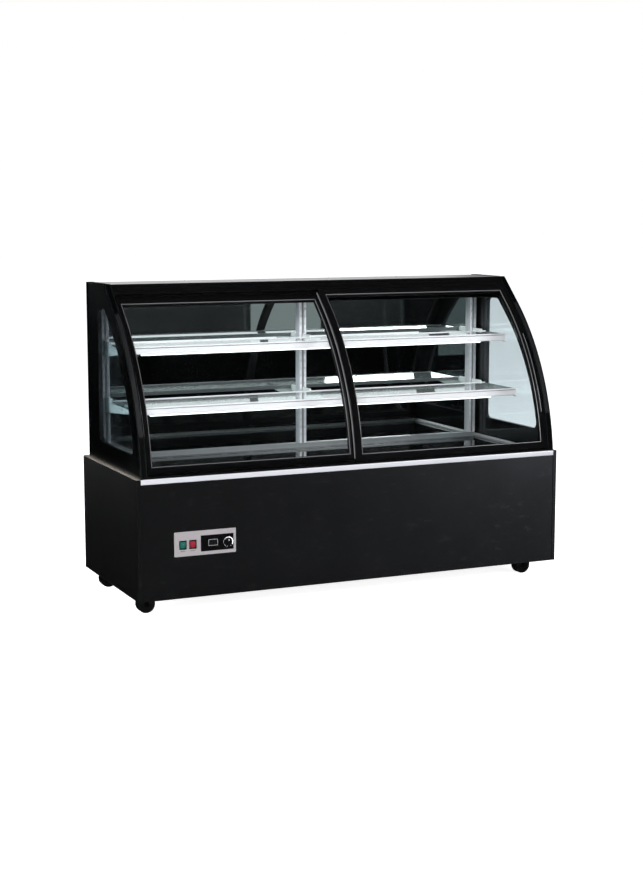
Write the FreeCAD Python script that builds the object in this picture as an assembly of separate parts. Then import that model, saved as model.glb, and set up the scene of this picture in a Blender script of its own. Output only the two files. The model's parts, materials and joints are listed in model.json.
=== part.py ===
import FreeCAD, Part
import math
import os

# Refrigerated bakery display case with a curved front and two sliding curved glass doors.
# Millimetres.  +X to the case's right seen from the customer's side, -Y towards the customer,
# +Z up.  The origin is on the floor, under the middle of the case.

Vector = FreeCAD.Vector

# ---------------------------------------------------------------- driving dimensions
width = 1800.0
depth = 680.0
underside = 64.0                    # lower edge of the base panels above the floor
base_height = 458.0
body_half_width = 884.0             # outside of the glazed ends
overall_height = 1216.0
body_rear = 307.0                   # rear face of the glazed body
base_top = underside + base_height
half_width = width / 2
front_face = -depth / 2
rear_face = depth / 2

# curved front: an arc from the foot, then its tangent up to the top corner
arc_radius = 925.0
arc_centre_y = 583.0
arc_centre_z = 432.0
tangent_angle = math.radians(47.1)  # from vertical, where the arc gives way to the straight part

# base cabinet
board = 16.0
sheet = 1.5
pan_bottom = 88.0
pan_flange = 22.0
strip_height = 20.0
tube = 25.0
tub_bottom = 345.0
tub_floor = 30.0
deck_top = 510.0
deck_thickness = 4.0
mirror_face = 258.0
mirror_thickness = 4.0
skirting_height = 19.0

# glazed ends
pane = 5.0
end_thickness = 26.0
window_margin = 82.0                # printed border from the curved edge to the clear window
window_bottom = 600.0
window_top = 1122.0
window_rear = 178.0
window_corner = 24.0

# doors and their tracks
beam_length = 50.0                  # along the slope
beam_depth = 50.0                   # square to the slope
beam_flange = 22.0
frame_width = 27.0
frame_depth = 18.0
outer_door_depth = 2.0              # outer door's face, inwards from the curve
inner_door_depth = 28.0
door_glass = 5.0
glass_bite = 8.0
door_gap = 1.0
meeting_half_lap = 8.0
track_height = 8.0
pull_length = 350.0
pull_middle = 335.0                 # along the curve from the foot
pull_width = 7.0
pull_height = 5.0

# shelves
shelf_tops = {"lower": 757.0, "upper": 979.0}
shelf_fronts = {"lower": -120.0, "upper": -26.0}
shelf_rear = 142.0
shelf_half_length = 838.0
shelf_glass = 6.0
rail_height = 28.0
rail_depth = 16.0
standard_offset = 831.0
middle_standard = 20.0
standard_width = 30.0
standard_depth = 20.0

# casters
wheel_radius = 34.0
wheel_width = 15.0
wheel_gap = 10.0                    # between the two tyres of a caster
caster_x = 820.0
caster_y = 235.0
caster_trail = 20.0
fork_top = 82.0
wheel_play = 0.6                    # between a wheel and the caster's core
hood_sheet = 3.0

# controls
plate_centre = (-636.0, 270.0)
plate_size = (245.0, 93.0)
rocker_tilt = 8.0                   # degrees, at rest
bezel_half = (14.0, 16.5)           # half width and half height of a switch's bezel
well_half = (12.6, 15.1)            # the same of the body behind it
hollow_half = (11.4, 13.9)          # the same of the space for the key
key_half = (11.0, 12.7)             # the same of the key


# ---------------------------------------------------------------- helpers
def box(x0, x1, y0, y1, z0, z1):
    return Part.makeBox(x1 - x0, y1 - y0, z1 - z0, Vector(x0, y0, z0))


def cylinder(radius, start, end):
    along = Vector(*end) - Vector(*start)
    return Part.makeCylinder(radius, along.Length, Vector(*start), along)


def prism_x(points, x0, x1):
    """Closed outline of (y, z) points, pulled from x0 to x1."""
    wire = Part.makePolygon([Vector(x0, y, z) for y, z in points + points[:1]])
    return Part.Face(wire).extrude(Vector(x1 - x0, 0, 0))


def round_edges(shape, radius, keep):
    """Fillet the straight edges whose ends pass the test."""
    open_edges = [e for e in shape.Edges if len(e.Vertexes) == 2]
    chosen = [e for e in open_edges if keep(e.Vertexes[0].Point, e.Vertexes[1].Point)]
    return shape.makeFillet(radius, chosen)


def upright_edge(a, b):
    return abs(a.x - b.x) < 1e-4 and abs(a.y - b.y) < 1e-4


def lengthwise_edge(a, b):
    return abs(a.y - b.y) < 1e-4 and abs(a.z - b.z) < 1e-4


def crosswise_edge(a, b):
    return abs(a.x - b.x) < 1e-4 and abs(a.z - b.z) < 1e-4


def save(name, shape):
    """Write one node: a solid, or a list of separate solids."""
    pieces = shape if isinstance(shape, list) else [shape]
    solids = [solid for piece in pieces for solid in piece.Solids]
    for solid in solids:
        if not solid.isValid() or solid.Volume < 1:
            raise RuntimeError("bad solid in " + name)
    result = solids[0] if len(solids) == 1 else Part.makeCompound(solids)
    result.exportStep(os.path.join("parts", name + ".step"))


def ring_of(count, make):
    return [make(2 * math.pi * index / count) for index in range(count)]


def spread(count, first, last):
    return [first + (last - first) * index / (count - 1) for index in range(count)]


# ---------------------------------------------------------------- the curved front
foot_angle = math.asin((base_top - arc_centre_z) / arc_radius)
arc_length = arc_radius * (tangent_angle - foot_angle)


def tangent_point(inset):
    reach = arc_radius - inset
    return arc_centre_y - reach * math.cos(tangent_angle), arc_centre_z + reach * math.sin(tangent_angle)


slope_length = (overall_height - tangent_point(0)[1]) / math.cos(tangent_angle)
curve_length = arc_length + slope_length


def curve_point(along, inset):
    """Point (y, z) at a distance along the curve from its foot and square inwards from it."""
    angle = min(foot_angle + along / arc_radius, tangent_angle)
    reach = arc_radius - inset
    past = max(along - arc_length, 0.0)
    y = arc_centre_y - reach * math.cos(angle) + past * math.sin(angle)
    z = arc_centre_z + reach * math.sin(angle) + past * math.cos(angle)
    return y, z


def station_at(z, inset):
    """Distance along the curve, near its foot, at which an inset line reaches a height."""
    return arc_radius * (math.asin((z - arc_centre_z) / (arc_radius - inset)) - foot_angle)


def curve_y(z, inset):
    """Where the curve, moved inwards, stands at a height."""
    bend_y, bend_z = tangent_point(inset)
    if z > bend_z:
        return bend_y + (z - bend_z) * math.tan(tangent_angle)
    return arc_centre_y - math.sqrt((arc_radius - inset) ** 2 - (z - arc_centre_z) ** 2)


def curve_edges(start, end, inset, x):
    """Edges along the curve from one station to another, in the plane at x."""
    edges = []
    bend = min(max(arc_length, start), end)
    if start < bend:
        stations = (start, (start + bend) / 2, bend)
        edges.append(Part.Arc(*[Vector(x, *curve_point(s, inset)) for s in stations]).toShape())
    if end > bend:
        ends = [Vector(x, *curve_point(s, inset)) for s in (bend, end)]
        edges.append(Part.makeLine(*ends))
    return edges


def curved_band(start, end, outer, inner, x0, x1):
    """Solid between two insets of the curve and two stations along it."""
    edges = curve_edges(start, end, outer, x0) + curve_edges(start, end, inner, x0)
    for station in (start, end):
        ends = [Vector(x0, *curve_point(station, inset)) for inset in (outer, inner)]
        edges.append(Part.makeLine(*ends))
    wire = Part.Wire(Part.__sortEdges__(edges))
    return Part.Face(wire).extrude(Vector(x1 - x0, 0, 0))


def end_outline(inset, bottom, top, rear, x0, x1):
    """Slab with the outline of a glazed end, its curved edge moved inwards."""
    bend = tangent_point(inset)
    foot = (curve_y(bottom, inset), bottom)
    peak = (curve_y(top, inset), top)
    middle_z = (bottom + bend[1]) / 2
    arc = Part.Arc(Vector(x0, *foot), Vector(x0, curve_y(middle_z, inset), middle_z), Vector(x0, *bend))
    corners = [bend, peak, (rear, top), (rear, bottom), foot]
    edges = [arc.toShape()]
    for first, second in zip(corners, corners[1:]):
        edges.append(Part.makeLine(Vector(x0, *first), Vector(x0, *second)))
    return Part.Face(Part.Wire(Part.__sortEdges__(edges))).extrude(Vector(x1 - x0, 0, 0))


# ---------------------------------------------------------------- base cabinet
inner_half = half_width - board
panel_back = front_face + board


def make_side_panels():
    for name, sign in (("side_panel_left", -1), ("side_panel_right", 1)):
        x0, x1 = sorted((sign * inner_half, sign * half_width))
        panel = box(x0, x1, front_face, rear_face, underside, base_top)
        outer = lambda a, b, edge=sign * half_width: abs(a.x - edge) < 1e-4 and abs(b.x - edge) < 1e-4
        save(name, round_edges(panel, 1.5, outer))


def make_front_panel():
    panel = box(-inner_half, inner_half, front_face + 1, panel_back, underside, base_top - strip_height)
    panel = round_edges(panel, 2.0, lambda a, b: upright_edge(a, b) and a.y < front_face + 2)
    x, z = plate_centre
    hole = box(x - 112, x + 112, front_face, panel_back + 1, z - 36, z + 36)
    save("front_panel", panel.cut(hole))


def make_trim_strip():
    strip = box(-inner_half, inner_half, front_face, panel_back, base_top - strip_height, base_top)
    strip = round_edges(strip, 3.0, lambda a, b: lengthwise_edge(a, b) and a.y < front_face + 1)
    save("trim_strip", strip)


def make_floor_pan():
    """Steel plate with an upright strip welded along each edge."""
    y0, y1 = panel_back, rear_face - board
    low, high = pan_bottom + sheet, pan_bottom + pan_flange
    plate = box(-inner_half, inner_half, y0, y1, pan_bottom, low)
    strips = [box(-inner_half, inner_half, y, y + sheet, low, high) for y in (y0, y1 - sheet)]
    strips += [box(x, x + sheet, y0 + sheet, y1 - sheet, low, high)
               for x in (-inner_half, inner_half - sheet)]
    save("floor_pan", [plate] + strips)


def make_base_frame():
    """Square tubes that stand in the pan and carry the insulated tub."""
    low = pan_bottom + sheet
    y_front, y_rear = panel_back + sheet, rear_face - board - sheet
    x_end = inner_half - sheet
    tubes = []
    for x in (-x_end, x_end - tube, -tube / 2):
        for y in (y_front, y_rear - tube):
            tubes.append(box(x, x + tube, y, y + tube, low, tub_bottom - tube))
    for y in (y_front, y_rear - tube):
        tubes.append(box(-x_end, x_end, y, y + tube, tub_bottom - tube, tub_bottom))
    for x in (-x_end, x_end - tube, -tube / 2):
        tubes.append(box(x, x + tube, y_front + tube, y_rear - tube, tub_bottom - tube, tub_bottom))
    save("base_frame", tubes)


def make_rear_panel():
    """Removable rear cover with rows of cooling louvres."""
    y0, y1 = rear_face - board, rear_face
    cover = box(-inner_half, inner_half, y1 - 3, y1, underside, base_top)
    lip = box(-inner_half, inner_half, y0, y1 - 3, base_top - 12, base_top)
    cover = cover.fuse(lip).removeSplitter()
    slots = []
    for column in (-640.0, -420.0, 420.0, 640.0):
        for z in spread(9, 130.0, 290.0):
            slots.append(box(column - 80, column + 80, y1 - 4, y1 + 1, z, z + 8))
    inlet = box(-212, -178, y1 - 4, y1 + 1, 139, 165)
    save("rear_panel", cover.cut(Part.makeCompound(slots + [inlet])))


# ---------------------------------------------------------------- insulated tub, evaporator and deck
tub_front = panel_back
tub_rear = rear_face - board
seat_half = body_half_width - end_thickness - 1
deck_front = -296.0
deck_ledge = 12.0                   # how far the deck's edges rest on the tub
skirting_depth = 14.0
bead_width = 8.0
bead_height = 6.0
deck_half = seat_half - 12.0        # the beads stand beside the deck, the skirting behind it
deck_rear = mirror_face - skirting_depth
shelf_of_deck = deck_top - deck_thickness
cavity_half = deck_half - deck_ledge
cavity_front = deck_front + deck_ledge
cavity_rear = deck_rear - deck_ledge
cavity_floor = tub_bottom + tub_floor


def make_tub():
    body = box(-inner_half, inner_half, tub_front, tub_rear, tub_bottom, base_top)
    rim_cut = box(-inner_half - 1, inner_half + 1, tub_rear - 1, tub_rear + 1, base_top - 12, base_top + 1)
    cavity = box(-cavity_half, cavity_half, cavity_front, cavity_rear, cavity_floor, base_top + 1)
    seat = box(-seat_half, seat_half, deck_front, mirror_face + mirror_thickness, shelf_of_deck, base_top + 1)
    drain = cylinder(11, (500, -40, tub_bottom - 1), (500, -40, cavity_floor + 1))
    save("insulated_tub", body.cut(Part.makeCompound([cavity, seat, drain, rim_cut])))


def make_deck():
    deck = box(-deck_half, deck_half, deck_front, deck_rear, shelf_of_deck, deck_top)
    slots = [box(x, x + 90, 196, 204, shelf_of_deck - 1, deck_top + 1) for x in spread(14, -800.0, 710.0)]
    save("deck", deck.cut(Part.makeCompound(slots)))


def make_deck_trims():
    """Pale strip along the foot of the mirror and a bead along each end, all standing on the tub's ledge."""
    low, high = shelf_of_deck, deck_top + skirting_height
    rear = box(-deck_half, deck_half, deck_rear, mirror_face, low, high)

    def top_front(a, b):
        return lengthwise_edge(a, b) and a.y < deck_rear + 1 and a.z > high - 1

    rear = round_edges(rear, 2.0, top_front)
    beads = []
    for sign in (-1, 1):
        x0, x1 = sorted((sign * deck_half, sign * (deck_half + bead_width)))
        bead = box(x0, x1, deck_front + 4, mirror_face, low, deck_top + bead_height)
        beads.append(bead)
    save("deck_trims", [rear] + beads)


def finned_coil(x0, x1, y0, y1, z0, z1, fin_pitch, rows):
    """Fins and end plates on straight tubes that run along X."""
    fin = 1.2
    count = int((x1 - x0 - fin) / fin_pitch)
    plates = [box(x, x + fin, y0, y1, z0, z1) for x in spread(count + 1, x0, x1 - fin)]
    coil = plates[0].fuse(plates[1:])
    for y in spread(rows[0], y0 + 14, y1 - 14):
        for z in spread(rows[1], z0 + 14, z1 - 14):
            coil = coil.fuse(cylinder(5, (x0 - 12, y, z), (x1 + 12, y, z)))
    return coil.removeSplitter()


evaporator_box = (-700.0, 380.0, 60.0, 170.0, cavity_floor + 8, cavity_floor + 108)
fan_wall_y = 10.0
fan_x = (-430.0, 110.0)
fan_z = cavity_floor + 62
evaporator_fan_radius = 48.0


def make_evaporator():
    save("evaporator_coil", finned_coil(*evaporator_box, 20.0, (3, 3)))


def make_fan_plate():
    """Wall across the tub that carries the two evaporator fan motors."""
    plate = box(-700, 380, fan_wall_y, fan_wall_y + 3, cavity_floor, cavity_floor + 124)
    for x in fan_x:
        hole = cylinder(evaporator_fan_radius + 4, (x, fan_wall_y - 1, fan_z), (x, fan_wall_y + 4, fan_z))
        spokes = [box(x - 60, x + 60, fan_wall_y, fan_wall_y + 3, fan_z - 4, fan_z + 4)]
        spokes.append(box(x - 4, x + 4, fan_wall_y, fan_wall_y + 3, fan_z - 60, fan_z + 60))
        motor = cylinder(20, (x, fan_wall_y - 34, fan_z), (x, fan_wall_y + 3, fan_z))
        shaft = cylinder(3, (x, fan_wall_y + 3, fan_z), (x, fan_wall_y + 24, fan_z))
        plate = plate.cut(hole).fuse(spokes + [motor, shaft])
    save("evaporator_fan_plate", plate.removeSplitter())


def fan_wheel(x, y, z, radius, hub_radius, hub_length, shaft_radius, blades):
    """Hub and twisted blades that turn on a shaft along +Y."""
    hub = cylinder(hub_radius, (x, y, z), (x, y + hub_length, z))
    tip = radius * 0.98
    half_chord = hub_length * 0.36
    middle = y + hub_length / 2

    def blade(angle):
        root = Part.makePolygon([Vector(x + hub_radius * 0.8, middle + dy, z + dz)
                                 for dy, dz in ((-half_chord, -8), (-half_chord + 1.6, -8),
                                                (half_chord, 8), (half_chord - 1.6, 8),
                                                (-half_chord, -8))])
        outer = Part.makePolygon([Vector(x + tip, middle + dy * 0.7, z + dz * 3.2)
                                  for dy, dz in ((-half_chord, -8), (-half_chord + 2.2, -8),
                                                 (half_chord, 8), (half_chord - 2.2, 8),
                                                 (-half_chord, -8))])
        solid = Part.makeLoft([root, outer], True, True)
        solid.rotate(Vector(x, y, z), Vector(0, 1, 0), math.degrees(angle))
        return solid

    wheel = hub.fuse(ring_of(blades, blade))
    bore = cylinder(shaft_radius + 0.05, (x, y - 1, z), (x, y + hub_length + 1, z))
    return wheel.cut(bore).removeSplitter()


def make_evaporator_fans():
    for name, x in zip(("evaporator_fan_left", "evaporator_fan_right"), fan_x):
        wheel = fan_wheel(x, fan_wall_y + 6, fan_z, evaporator_fan_radius, 11, 16, 3, 5)
        save(name, wheel)


# ---------------------------------------------------------------- condensing unit
unit_floor = pan_bottom + sheet
condenser_y = 214.0
condenser_box = (-790.0, -530.0, condenser_y, condenser_y + 66, unit_floor + 6, unit_floor + 216)
fan_centre = (-660.0, unit_floor + 111)
compressor_x, compressor_y = -400.0, 90.0
compressor_radius = 82.0


def make_condenser():
    save("condenser_coil", finned_coil(*condenser_box, 13.0, (2, 6)))


def make_condenser_shroud():
    """Sheet cowl on the coil's inner face, with a ring round the fan and feet in the pan."""
    x0, x1, y0, _, z0, z1 = condenser_box
    x, z = fan_centre
    cowl = box(x0, x1, y0 - 34, y0, z0, z1).cut(box(x0 + 2, x1 - 2, y0 - 32, y0 + 1, z0 + 2, z1 - 2))
    cowl = cowl.cut(cylinder(94, (x, y0 - 36, z), (x, y0 - 30, z)))
    strut = box(x - 104, x + 104, y0 - 66, y0 - 62, z - 7, z + 7)
    strut = strut.cut(cylinder(4.3, (x, y0 - 67, z), (x, y0 - 61, z)))
    legs = [box(x + dx - 4, x + dx + 4, y0 - 66, y0 - 34, z - 7, z + 7) for dx in (-100, 100)]
    feet = box(x0, x1, y0 - 34, y0, unit_floor, z0)
    save("condenser_fan_shroud", cowl.fuse([strut, feet] + legs).removeSplitter())


def make_condenser_motor():
    x, z = fan_centre
    y0 = condenser_y - 66
    can = cylinder(34, (x, y0 - 52, z), (x, y0, z))
    shaft = cylinder(4, (x, y0 - 1, z), (x, condenser_y - 8, z))
    save("condenser_fan_motor", can.fuse(shaft).removeSplitter())


def make_compressor():
    """Welded steel pot on a base plate with four feet."""
    x, y = compressor_x, compressor_y
    shell_low = unit_floor + 22
    shell = cylinder(compressor_radius, (x, y, shell_low), (x, y, shell_low + 150))
    dome = Part.makeSphere(compressor_radius * 1.25, Vector(x, y, shell_low + 90))
    dome = dome.common(cylinder(compressor_radius, (x, y, shell_low + 149), (x, y, shell_low + 200)))
    seam = cylinder(compressor_radius + 4, (x, y, shell_low + 82), (x, y, shell_low + 90))
    base = box(x - 105, x + 105, y - 70, y + 70, unit_floor + 18, shell_low)
    cover_x = x + compressor_radius
    cover = box(cover_x - 8, cover_x + 30, y - 30, y + 30, shell_low + 20, shell_low + 78)
    pot = shell.fuse([dome, seam, base, cover]).removeSplitter()
    feet = [cylinder(11, (x + dx, y + dy, unit_floor), (x + dx, y + dy, unit_floor + 18))
            for dx in (-88, 88) for dy in (-54, 54)]
    save("compressor", [pot] + feet)


def pipe(points, radius, bend):
    """Round tube along straight runs joined by arcs."""
    corners = [Vector(*p) for p in points]
    edges = []
    start = corners[0]
    for before, corner, after in zip(corners, corners[1:], corners[2:]):
        arrive = (before - corner).normalize()
        leave = (after - corner).normalize()
        half = arrive.getAngle(leave) / 2
        setback = bend / math.tan(half)
        bisector = (arrive + leave).normalize()
        first = corner + arrive * setback
        last = corner + leave * setback
        middle = corner + bisector * (bend / math.sin(half) - bend)
        edges.append(Part.makeLine(start, first))
        edges.append(Part.Arc(first, middle, last).toShape())
        start = last
    edges.append(Part.makeLine(start, corners[-1]))
    path = Part.Wire(edges)
    section = Part.Wire(Part.makeCircle(radius, corners[0], corners[1] - corners[0]))
    return path.makePipeShell([section], True, False)


def make_pipes():
    """Discharge line to the condenser, liquid line and suction line through the tub floor."""
    x, y = compressor_x, compressor_y
    top = unit_floor + 120
    coil_x1 = condenser_box[1] + 12
    discharge = pipe([(x - compressor_radius, y + 10, top), (x - 105, y + 10, top),
                      (x - 105, condenser_y + 33, top), (coil_x1 + 2, condenser_y + 33, top)], 4, 9)
    suction = pipe([(x, y - compressor_radius, top + 20), (x, y - 130, top + 20),
                    (x + 130, y - 130, top + 20), (x + 130, y - 130, tub_bottom)], 6, 16)
    liquid = pipe([(coil_x1 + 2, condenser_y + 33, unit_floor + 30),
                   (-250, condenser_y + 33, unit_floor + 30),
                   (-250, condenser_y + 33, tub_bottom)], 4, 12)
    save("refrigerant_pipes", [discharge, suction, liquid])


def make_electrical_box():
    shell = box(-760, -640, -240, -160, unit_floor, unit_floor + 90)
    save("electrical_box", round_edges(shell, 4.0, upright_edge))


def make_power_inlet():
    """Panel inlet for a detachable lead: a shell with a socket mouth and three pins."""
    y1 = rear_face
    shell = box(-212, -178, y1 - 30, y1 - 0.5, 139, 165)
    mouth = box(-208.5, -181.5, y1 - 20, y1 + 1, 142.5, 161.5)
    shell = shell.cut(mouth)
    pins = [box(x - 1, x + 1, y1 - 22, y1 - 8, z - 2.5, z + 2.5)
            for x, z in ((-203, 149.5), (-195, 154.5), (-187, 149.5))]
    save("power_inlet", shell.fuse(pins).removeSplitter())


def make_drain_pan():
    """Tray that catches the melt water, under the drain pipe."""
    tray = box(380, 620, -130, 50, unit_floor, unit_floor + 50)
    tray = round_edges(tray, 18.0, upright_edge)
    hollow = round_edges(box(382, 618, -128, 48, unit_floor + 2, unit_floor + 51), 16.0, upright_edge)
    spout = cylinder(10.5, (500, -40, unit_floor + 62), (500, -40, cavity_floor))
    spout = spout.cut(cylinder(8, (500, -40, unit_floor + 61), (500, -40, cavity_floor + 1)))
    save("drain_pan", [tray.cut(hollow), spout])


# ---------------------------------------------------------------- controls
def rocker_positions():
    x, z = plate_centre
    return (("power_rocker", x - 89, z - 3), ("light_rocker", x - 50, z - 3))


def plate_face():
    return front_face - 2.0


def make_control_plate():
    x, z = plate_centre
    half_x, half_z = plate_size[0] / 2, plate_size[1] / 2
    plate = box(x - half_x, x + half_x, plate_face() + 1, front_face + 1, z - half_z, z + half_z)
    plate = round_edges(plate, 3.0, crosswise_edge)
    cuts = [box(rx - well_half[0], rx + well_half[0], plate_face(), front_face + 2,
                rz - well_half[1], rz + well_half[1]) for _, rx, rz in rocker_positions()]
    cuts.append(box(x - 18, x + 112, plate_face(), front_face + 2, z - 33, z + 27))
    save("control_plate", plate.cut(Part.makeCompound(cuts)))


def make_switch_bodies():
    """Snap-in rocker switch bodies with a bezel and a pivot pin."""
    bodies = []
    for _, x, z in rocker_positions():
        layers = ((bezel_half, plate_face() - 1, plate_face() + 1),
                  (well_half, plate_face(), front_face + 26),
                  (hollow_half, plate_face() - 2, front_face + 16))
        bezel, well, hollow = [box(x - half[0], x + half[0], y0, y1, z - half[1], z + half[1])
                               for half, y0, y1 in layers]
        pivot = cylinder(1.5, (x - 12, front_face + 6, z), (x + 12, front_face + 6, z))
        bodies.append(bezel.fuse(well).cut(hollow).fuse(pivot).removeSplitter())
    save("switch_bodies", bodies)


def make_rockers():
    """Rocker keys with a V-shaped face, stored with the lower half pressed in."""
    pivot_y = front_face + 6
    for name, x, z in rocker_positions():
        half_x, half = key_half
        outline = [(pivot_y - 6.5, z - half), (pivot_y - 8.5, z), (pivot_y - 6.5, z + half),
                   (pivot_y + 1, z + half), (pivot_y + 5, z), (pivot_y + 1, z - half)]
        key = prism_x(outline, x - half_x, x + half_x)
        key = key.cut(cylinder(1.55, (x - 14, pivot_y, z), (x + 14, pivot_y, z)))
        key.rotate(Vector(x, pivot_y, z), Vector(1, 0, 0), rocker_tilt)
        save(name, key)


def knob_centre():
    x, z = plate_centre
    return x + 91.0, z - 4.0


def make_thermostat():
    """Black control panel with a display window, ticks round the dial and a body behind."""
    x, z = plate_centre
    knob_x, knob_z = knob_centre()
    face = box(x - 18, x + 112, plate_face(), front_face + 1, z - 33, z + 27)
    body = box(x - 14, x + 108, front_face + 1, front_face + 46, z - 30, z + 24)
    window = box(x + 13, x + 48, plate_face() - 1, plate_face() + 1, z - 13, z + 9)
    housing = face.fuse(body).cut(window)
    shaft_hole = cylinder(3.05, (knob_x, plate_face() - 1, knob_z), (knob_x, plate_face() + 16, knob_z))
    save("thermostat_housing", housing.cut(shaft_hole).removeSplitter())


def make_knob():
    x, z = knob_centre()
    y0 = plate_face() - 0.4
    grip = cylinder(13, (x, y0 - 9, z), (x, y0, z))
    notches = ring_of(18, lambda a: cylinder(1.0, (x + 13.3 * math.cos(a), y0 - 10, z + 13.3 * math.sin(a)),
                                             (x + 13.3 * math.cos(a), y0 - 2, z + 13.3 * math.sin(a))))
    pointer = box(x - 1, x + 1, y0 - 10, y0 - 8, z + 2, z + 12)
    shaft = cylinder(3, (x, y0, z), (x, y0 + 14, z))
    knob = grip.cut(Part.makeCompound(notches + [pointer])).fuse(shaft)
    save("thermostat_knob", knob.removeSplitter())


# ---------------------------------------------------------------- glazed body
inner_face = body_half_width - end_thickness


def make_ends():
    for side, sign in (("left", -1), ("right", 1)):
        spans = [sorted((sign * body_half_width, sign * (body_half_width - pane))),
                 sorted((sign * inner_face, sign * (inner_face + pane)))]
        panes = [end_outline(0, base_top, overall_height, body_rear, x0, x1) for x0, x1 in spans]
        save(side + "_end_glass", panes)
        x0, x1 = sorted((sign * (inner_face + pane), sign * (body_half_width - pane)))
        ring = end_outline(0, base_top, overall_height, body_rear, x0, x1)
        window = end_outline(window_margin, window_bottom, window_top, window_rear, x0 - 1, x1 + 1)
        window = window.makeFillet(window_corner, [e for e in window.Edges if corner_edge(e)])
        save(side + "_end_border", ring.cut(window))


def corner_edge(edge):
    """Short edges across the slab, except where the arc runs smoothly into the slope."""
    a, b = edge.Vertexes[0].Point, edge.Vertexes[-1].Point
    bend = tangent_point(window_margin)
    smooth = abs(a.y - bend[0]) < 1 and abs(a.z - bend[1]) < 1
    return lengthwise_edge(a, b) and not smooth


def make_top_panel():
    low, high = overall_height - 30, overall_height - 2
    lean = (high - low) / math.tan(tangent_angle)
    corner_y, corner_z = curve_point(curve_length, 0)
    front = corner_y + (corner_z - high) / math.tan(tangent_angle)
    outline = [(front, high), (body_rear, high), (body_rear, low), (front + lean, low)]
    save("top_panel", prism_x(outline, -inner_face, inner_face))


def make_top_beam():
    """Black extrusion on the slope: ribbed outside, two channels for the doors underneath."""
    low = curve_length - beam_length
    x0, x1 = -inner_face, inner_face
    beam = curved_band(low, curve_length, 1, beam_depth, x0, x1)
    flange = curved_band(low - beam_flange, low, beam_depth - 3.5, beam_depth, x0, x1)
    cuts = []
    for face in (outer_door_depth, inner_door_depth):
        cuts.append(curved_band(low - 1, low + 9, face + 2, face + frame_depth - 2, x0 - 1, x1 + 1))
    for groove in (12.0, 20.0, 34.0):
        cuts.append(curved_band(low + groove, low + groove + 2, 0, 2.6, x0 - 1, x1 + 1))
    beam = beam.fuse(flange).cut(Part.makeCompound(cuts))
    save("top_beam", beam.removeSplitter())


def make_back():
    low, high = base_top, overall_height - 30
    wall_front = mirror_face + mirror_thickness
    save("back_wall", box(-inner_face, inner_face, wall_front, body_rear, low, high))
    save("mirror", box(-inner_face + 1, inner_face - 1, mirror_face, wall_front, deck_top, high))


def make_bottom_track():
    """Low black extrusion with one groove for each door's glides."""
    front = curve_y(base_top, 1)
    back = front + beam_depth - 1
    track = box(-inner_face, inner_face, front, back, base_top, base_top + track_height)
    grooves = []
    for face in (outer_door_depth, inner_door_depth):
        y0 = front + face + 1
        grooves.append(box(-inner_face - 1, inner_face + 1, y0, y0 + frame_depth - 2,
                           base_top + 2, base_top + track_height + 1))
    save("bottom_track", track.cut(Part.makeCompound(grooves)))


# ---------------------------------------------------------------- doors
door_high = curve_length - beam_length - 1.0
door_far_edge = inner_face - door_gap


def mitre_block(x0, x1, low, high, inner_at_top):
    """Trapezium in the plane of the curve, pulled square to it, for a rail's mitred ends."""
    origin_y, origin_z = curve_point((low + high) / 2, 0)
    angle = min(foot_angle + (low + high) / 2 / arc_radius, tangent_angle)
    along = Vector(0, math.sin(angle), math.cos(angle))
    inward = Vector(0, math.cos(angle), -math.sin(angle))
    half = (high - low) / 2
    reach = 1.0
    grow = reach / (high - low) * frame_width
    short = frame_width + grow
    shifts = (-grow, short) if inner_at_top else (short, -grow)
    corners = [(x0 + shifts[0], -half - reach), (x1 - shifts[0], -half - reach),
               (x1 - shifts[1], half + reach), (x0 + shifts[1], half + reach)]
    base = Vector(0, origin_y, origin_z) - inward * 20
    points = [base + Vector(x, 0, 0) + along * t for x, t in corners]
    face = Part.Face(Part.makePolygon(points + points[:1]))
    return face.extrude(inward * 120)


def make_door(name, face, x0, x1, pull_x):
    """Curved door: mitred aluminium frame, bent glass, finger pull and nylon glides."""
    back = face + frame_depth
    middle = (face + back) / 2
    door_low = station_at(base_top + track_height + door_gap, back)
    lower_top = door_low + frame_width
    upper_low = door_high - frame_width
    lower = curved_band(door_low, lower_top, face, back, x0, x1)
    lower = lower.common(mitre_block(x0, x1, door_low, lower_top, True))
    upper = curved_band(upper_low, door_high, face, back, x0, x1)
    upper = upper.common(mitre_block(x0, x1, upper_low, door_high, False))
    stiles = [curved_band(door_low, door_high, face, back, a, a + frame_width)
              for a in (x0, x1 - frame_width)]
    glass_outer = middle - door_glass / 2
    inset = frame_width - glass_bite
    glass = curved_band(door_low + inset, door_high - inset, glass_outer, glass_outer + door_glass,
                        x0 + inset, x1 - inset)
    members = [rail.cut(glass) for rail in (lower, upper)]
    members += [stile.cut(lower).cut(upper).cut(glass) for stile in stiles]
    glide_low = station_at(base_top + 2.5, middle + 4)
    glides = [curved_band(glide_low, door_low, middle - 4, middle + 4, x - 20, x + 20)
              for x in (x0 + 70, x1 - 70)]
    tongue = curved_band(door_high, door_high + 7, middle - 4, middle + 4, x0 + 30, x1 - 30)
    save(name + "_frame", members + glides + [tongue])
    save(name + "_glass", glass)
    start, end = pull_middle - pull_length / 2, pull_middle + pull_length / 2
    half = pull_width / 2
    pull = curved_band(start, end, face - pull_height, face, pull_x - half, pull_x + half)
    save(name + "_pull", pull)


def make_doors():
    make_door("outer_door", outer_door_depth, -meeting_half_lap, door_far_edge, door_far_edge - 11)
    make_door("inner_door", inner_door_depth, -door_far_edge, meeting_half_lap, -door_far_edge + 11)


# ---------------------------------------------------------------- shelves
standard_x = (-standard_offset, middle_standard, standard_offset)
standard_front = mirror_face - standard_depth
standard_low = deck_top + skirting_height


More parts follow.
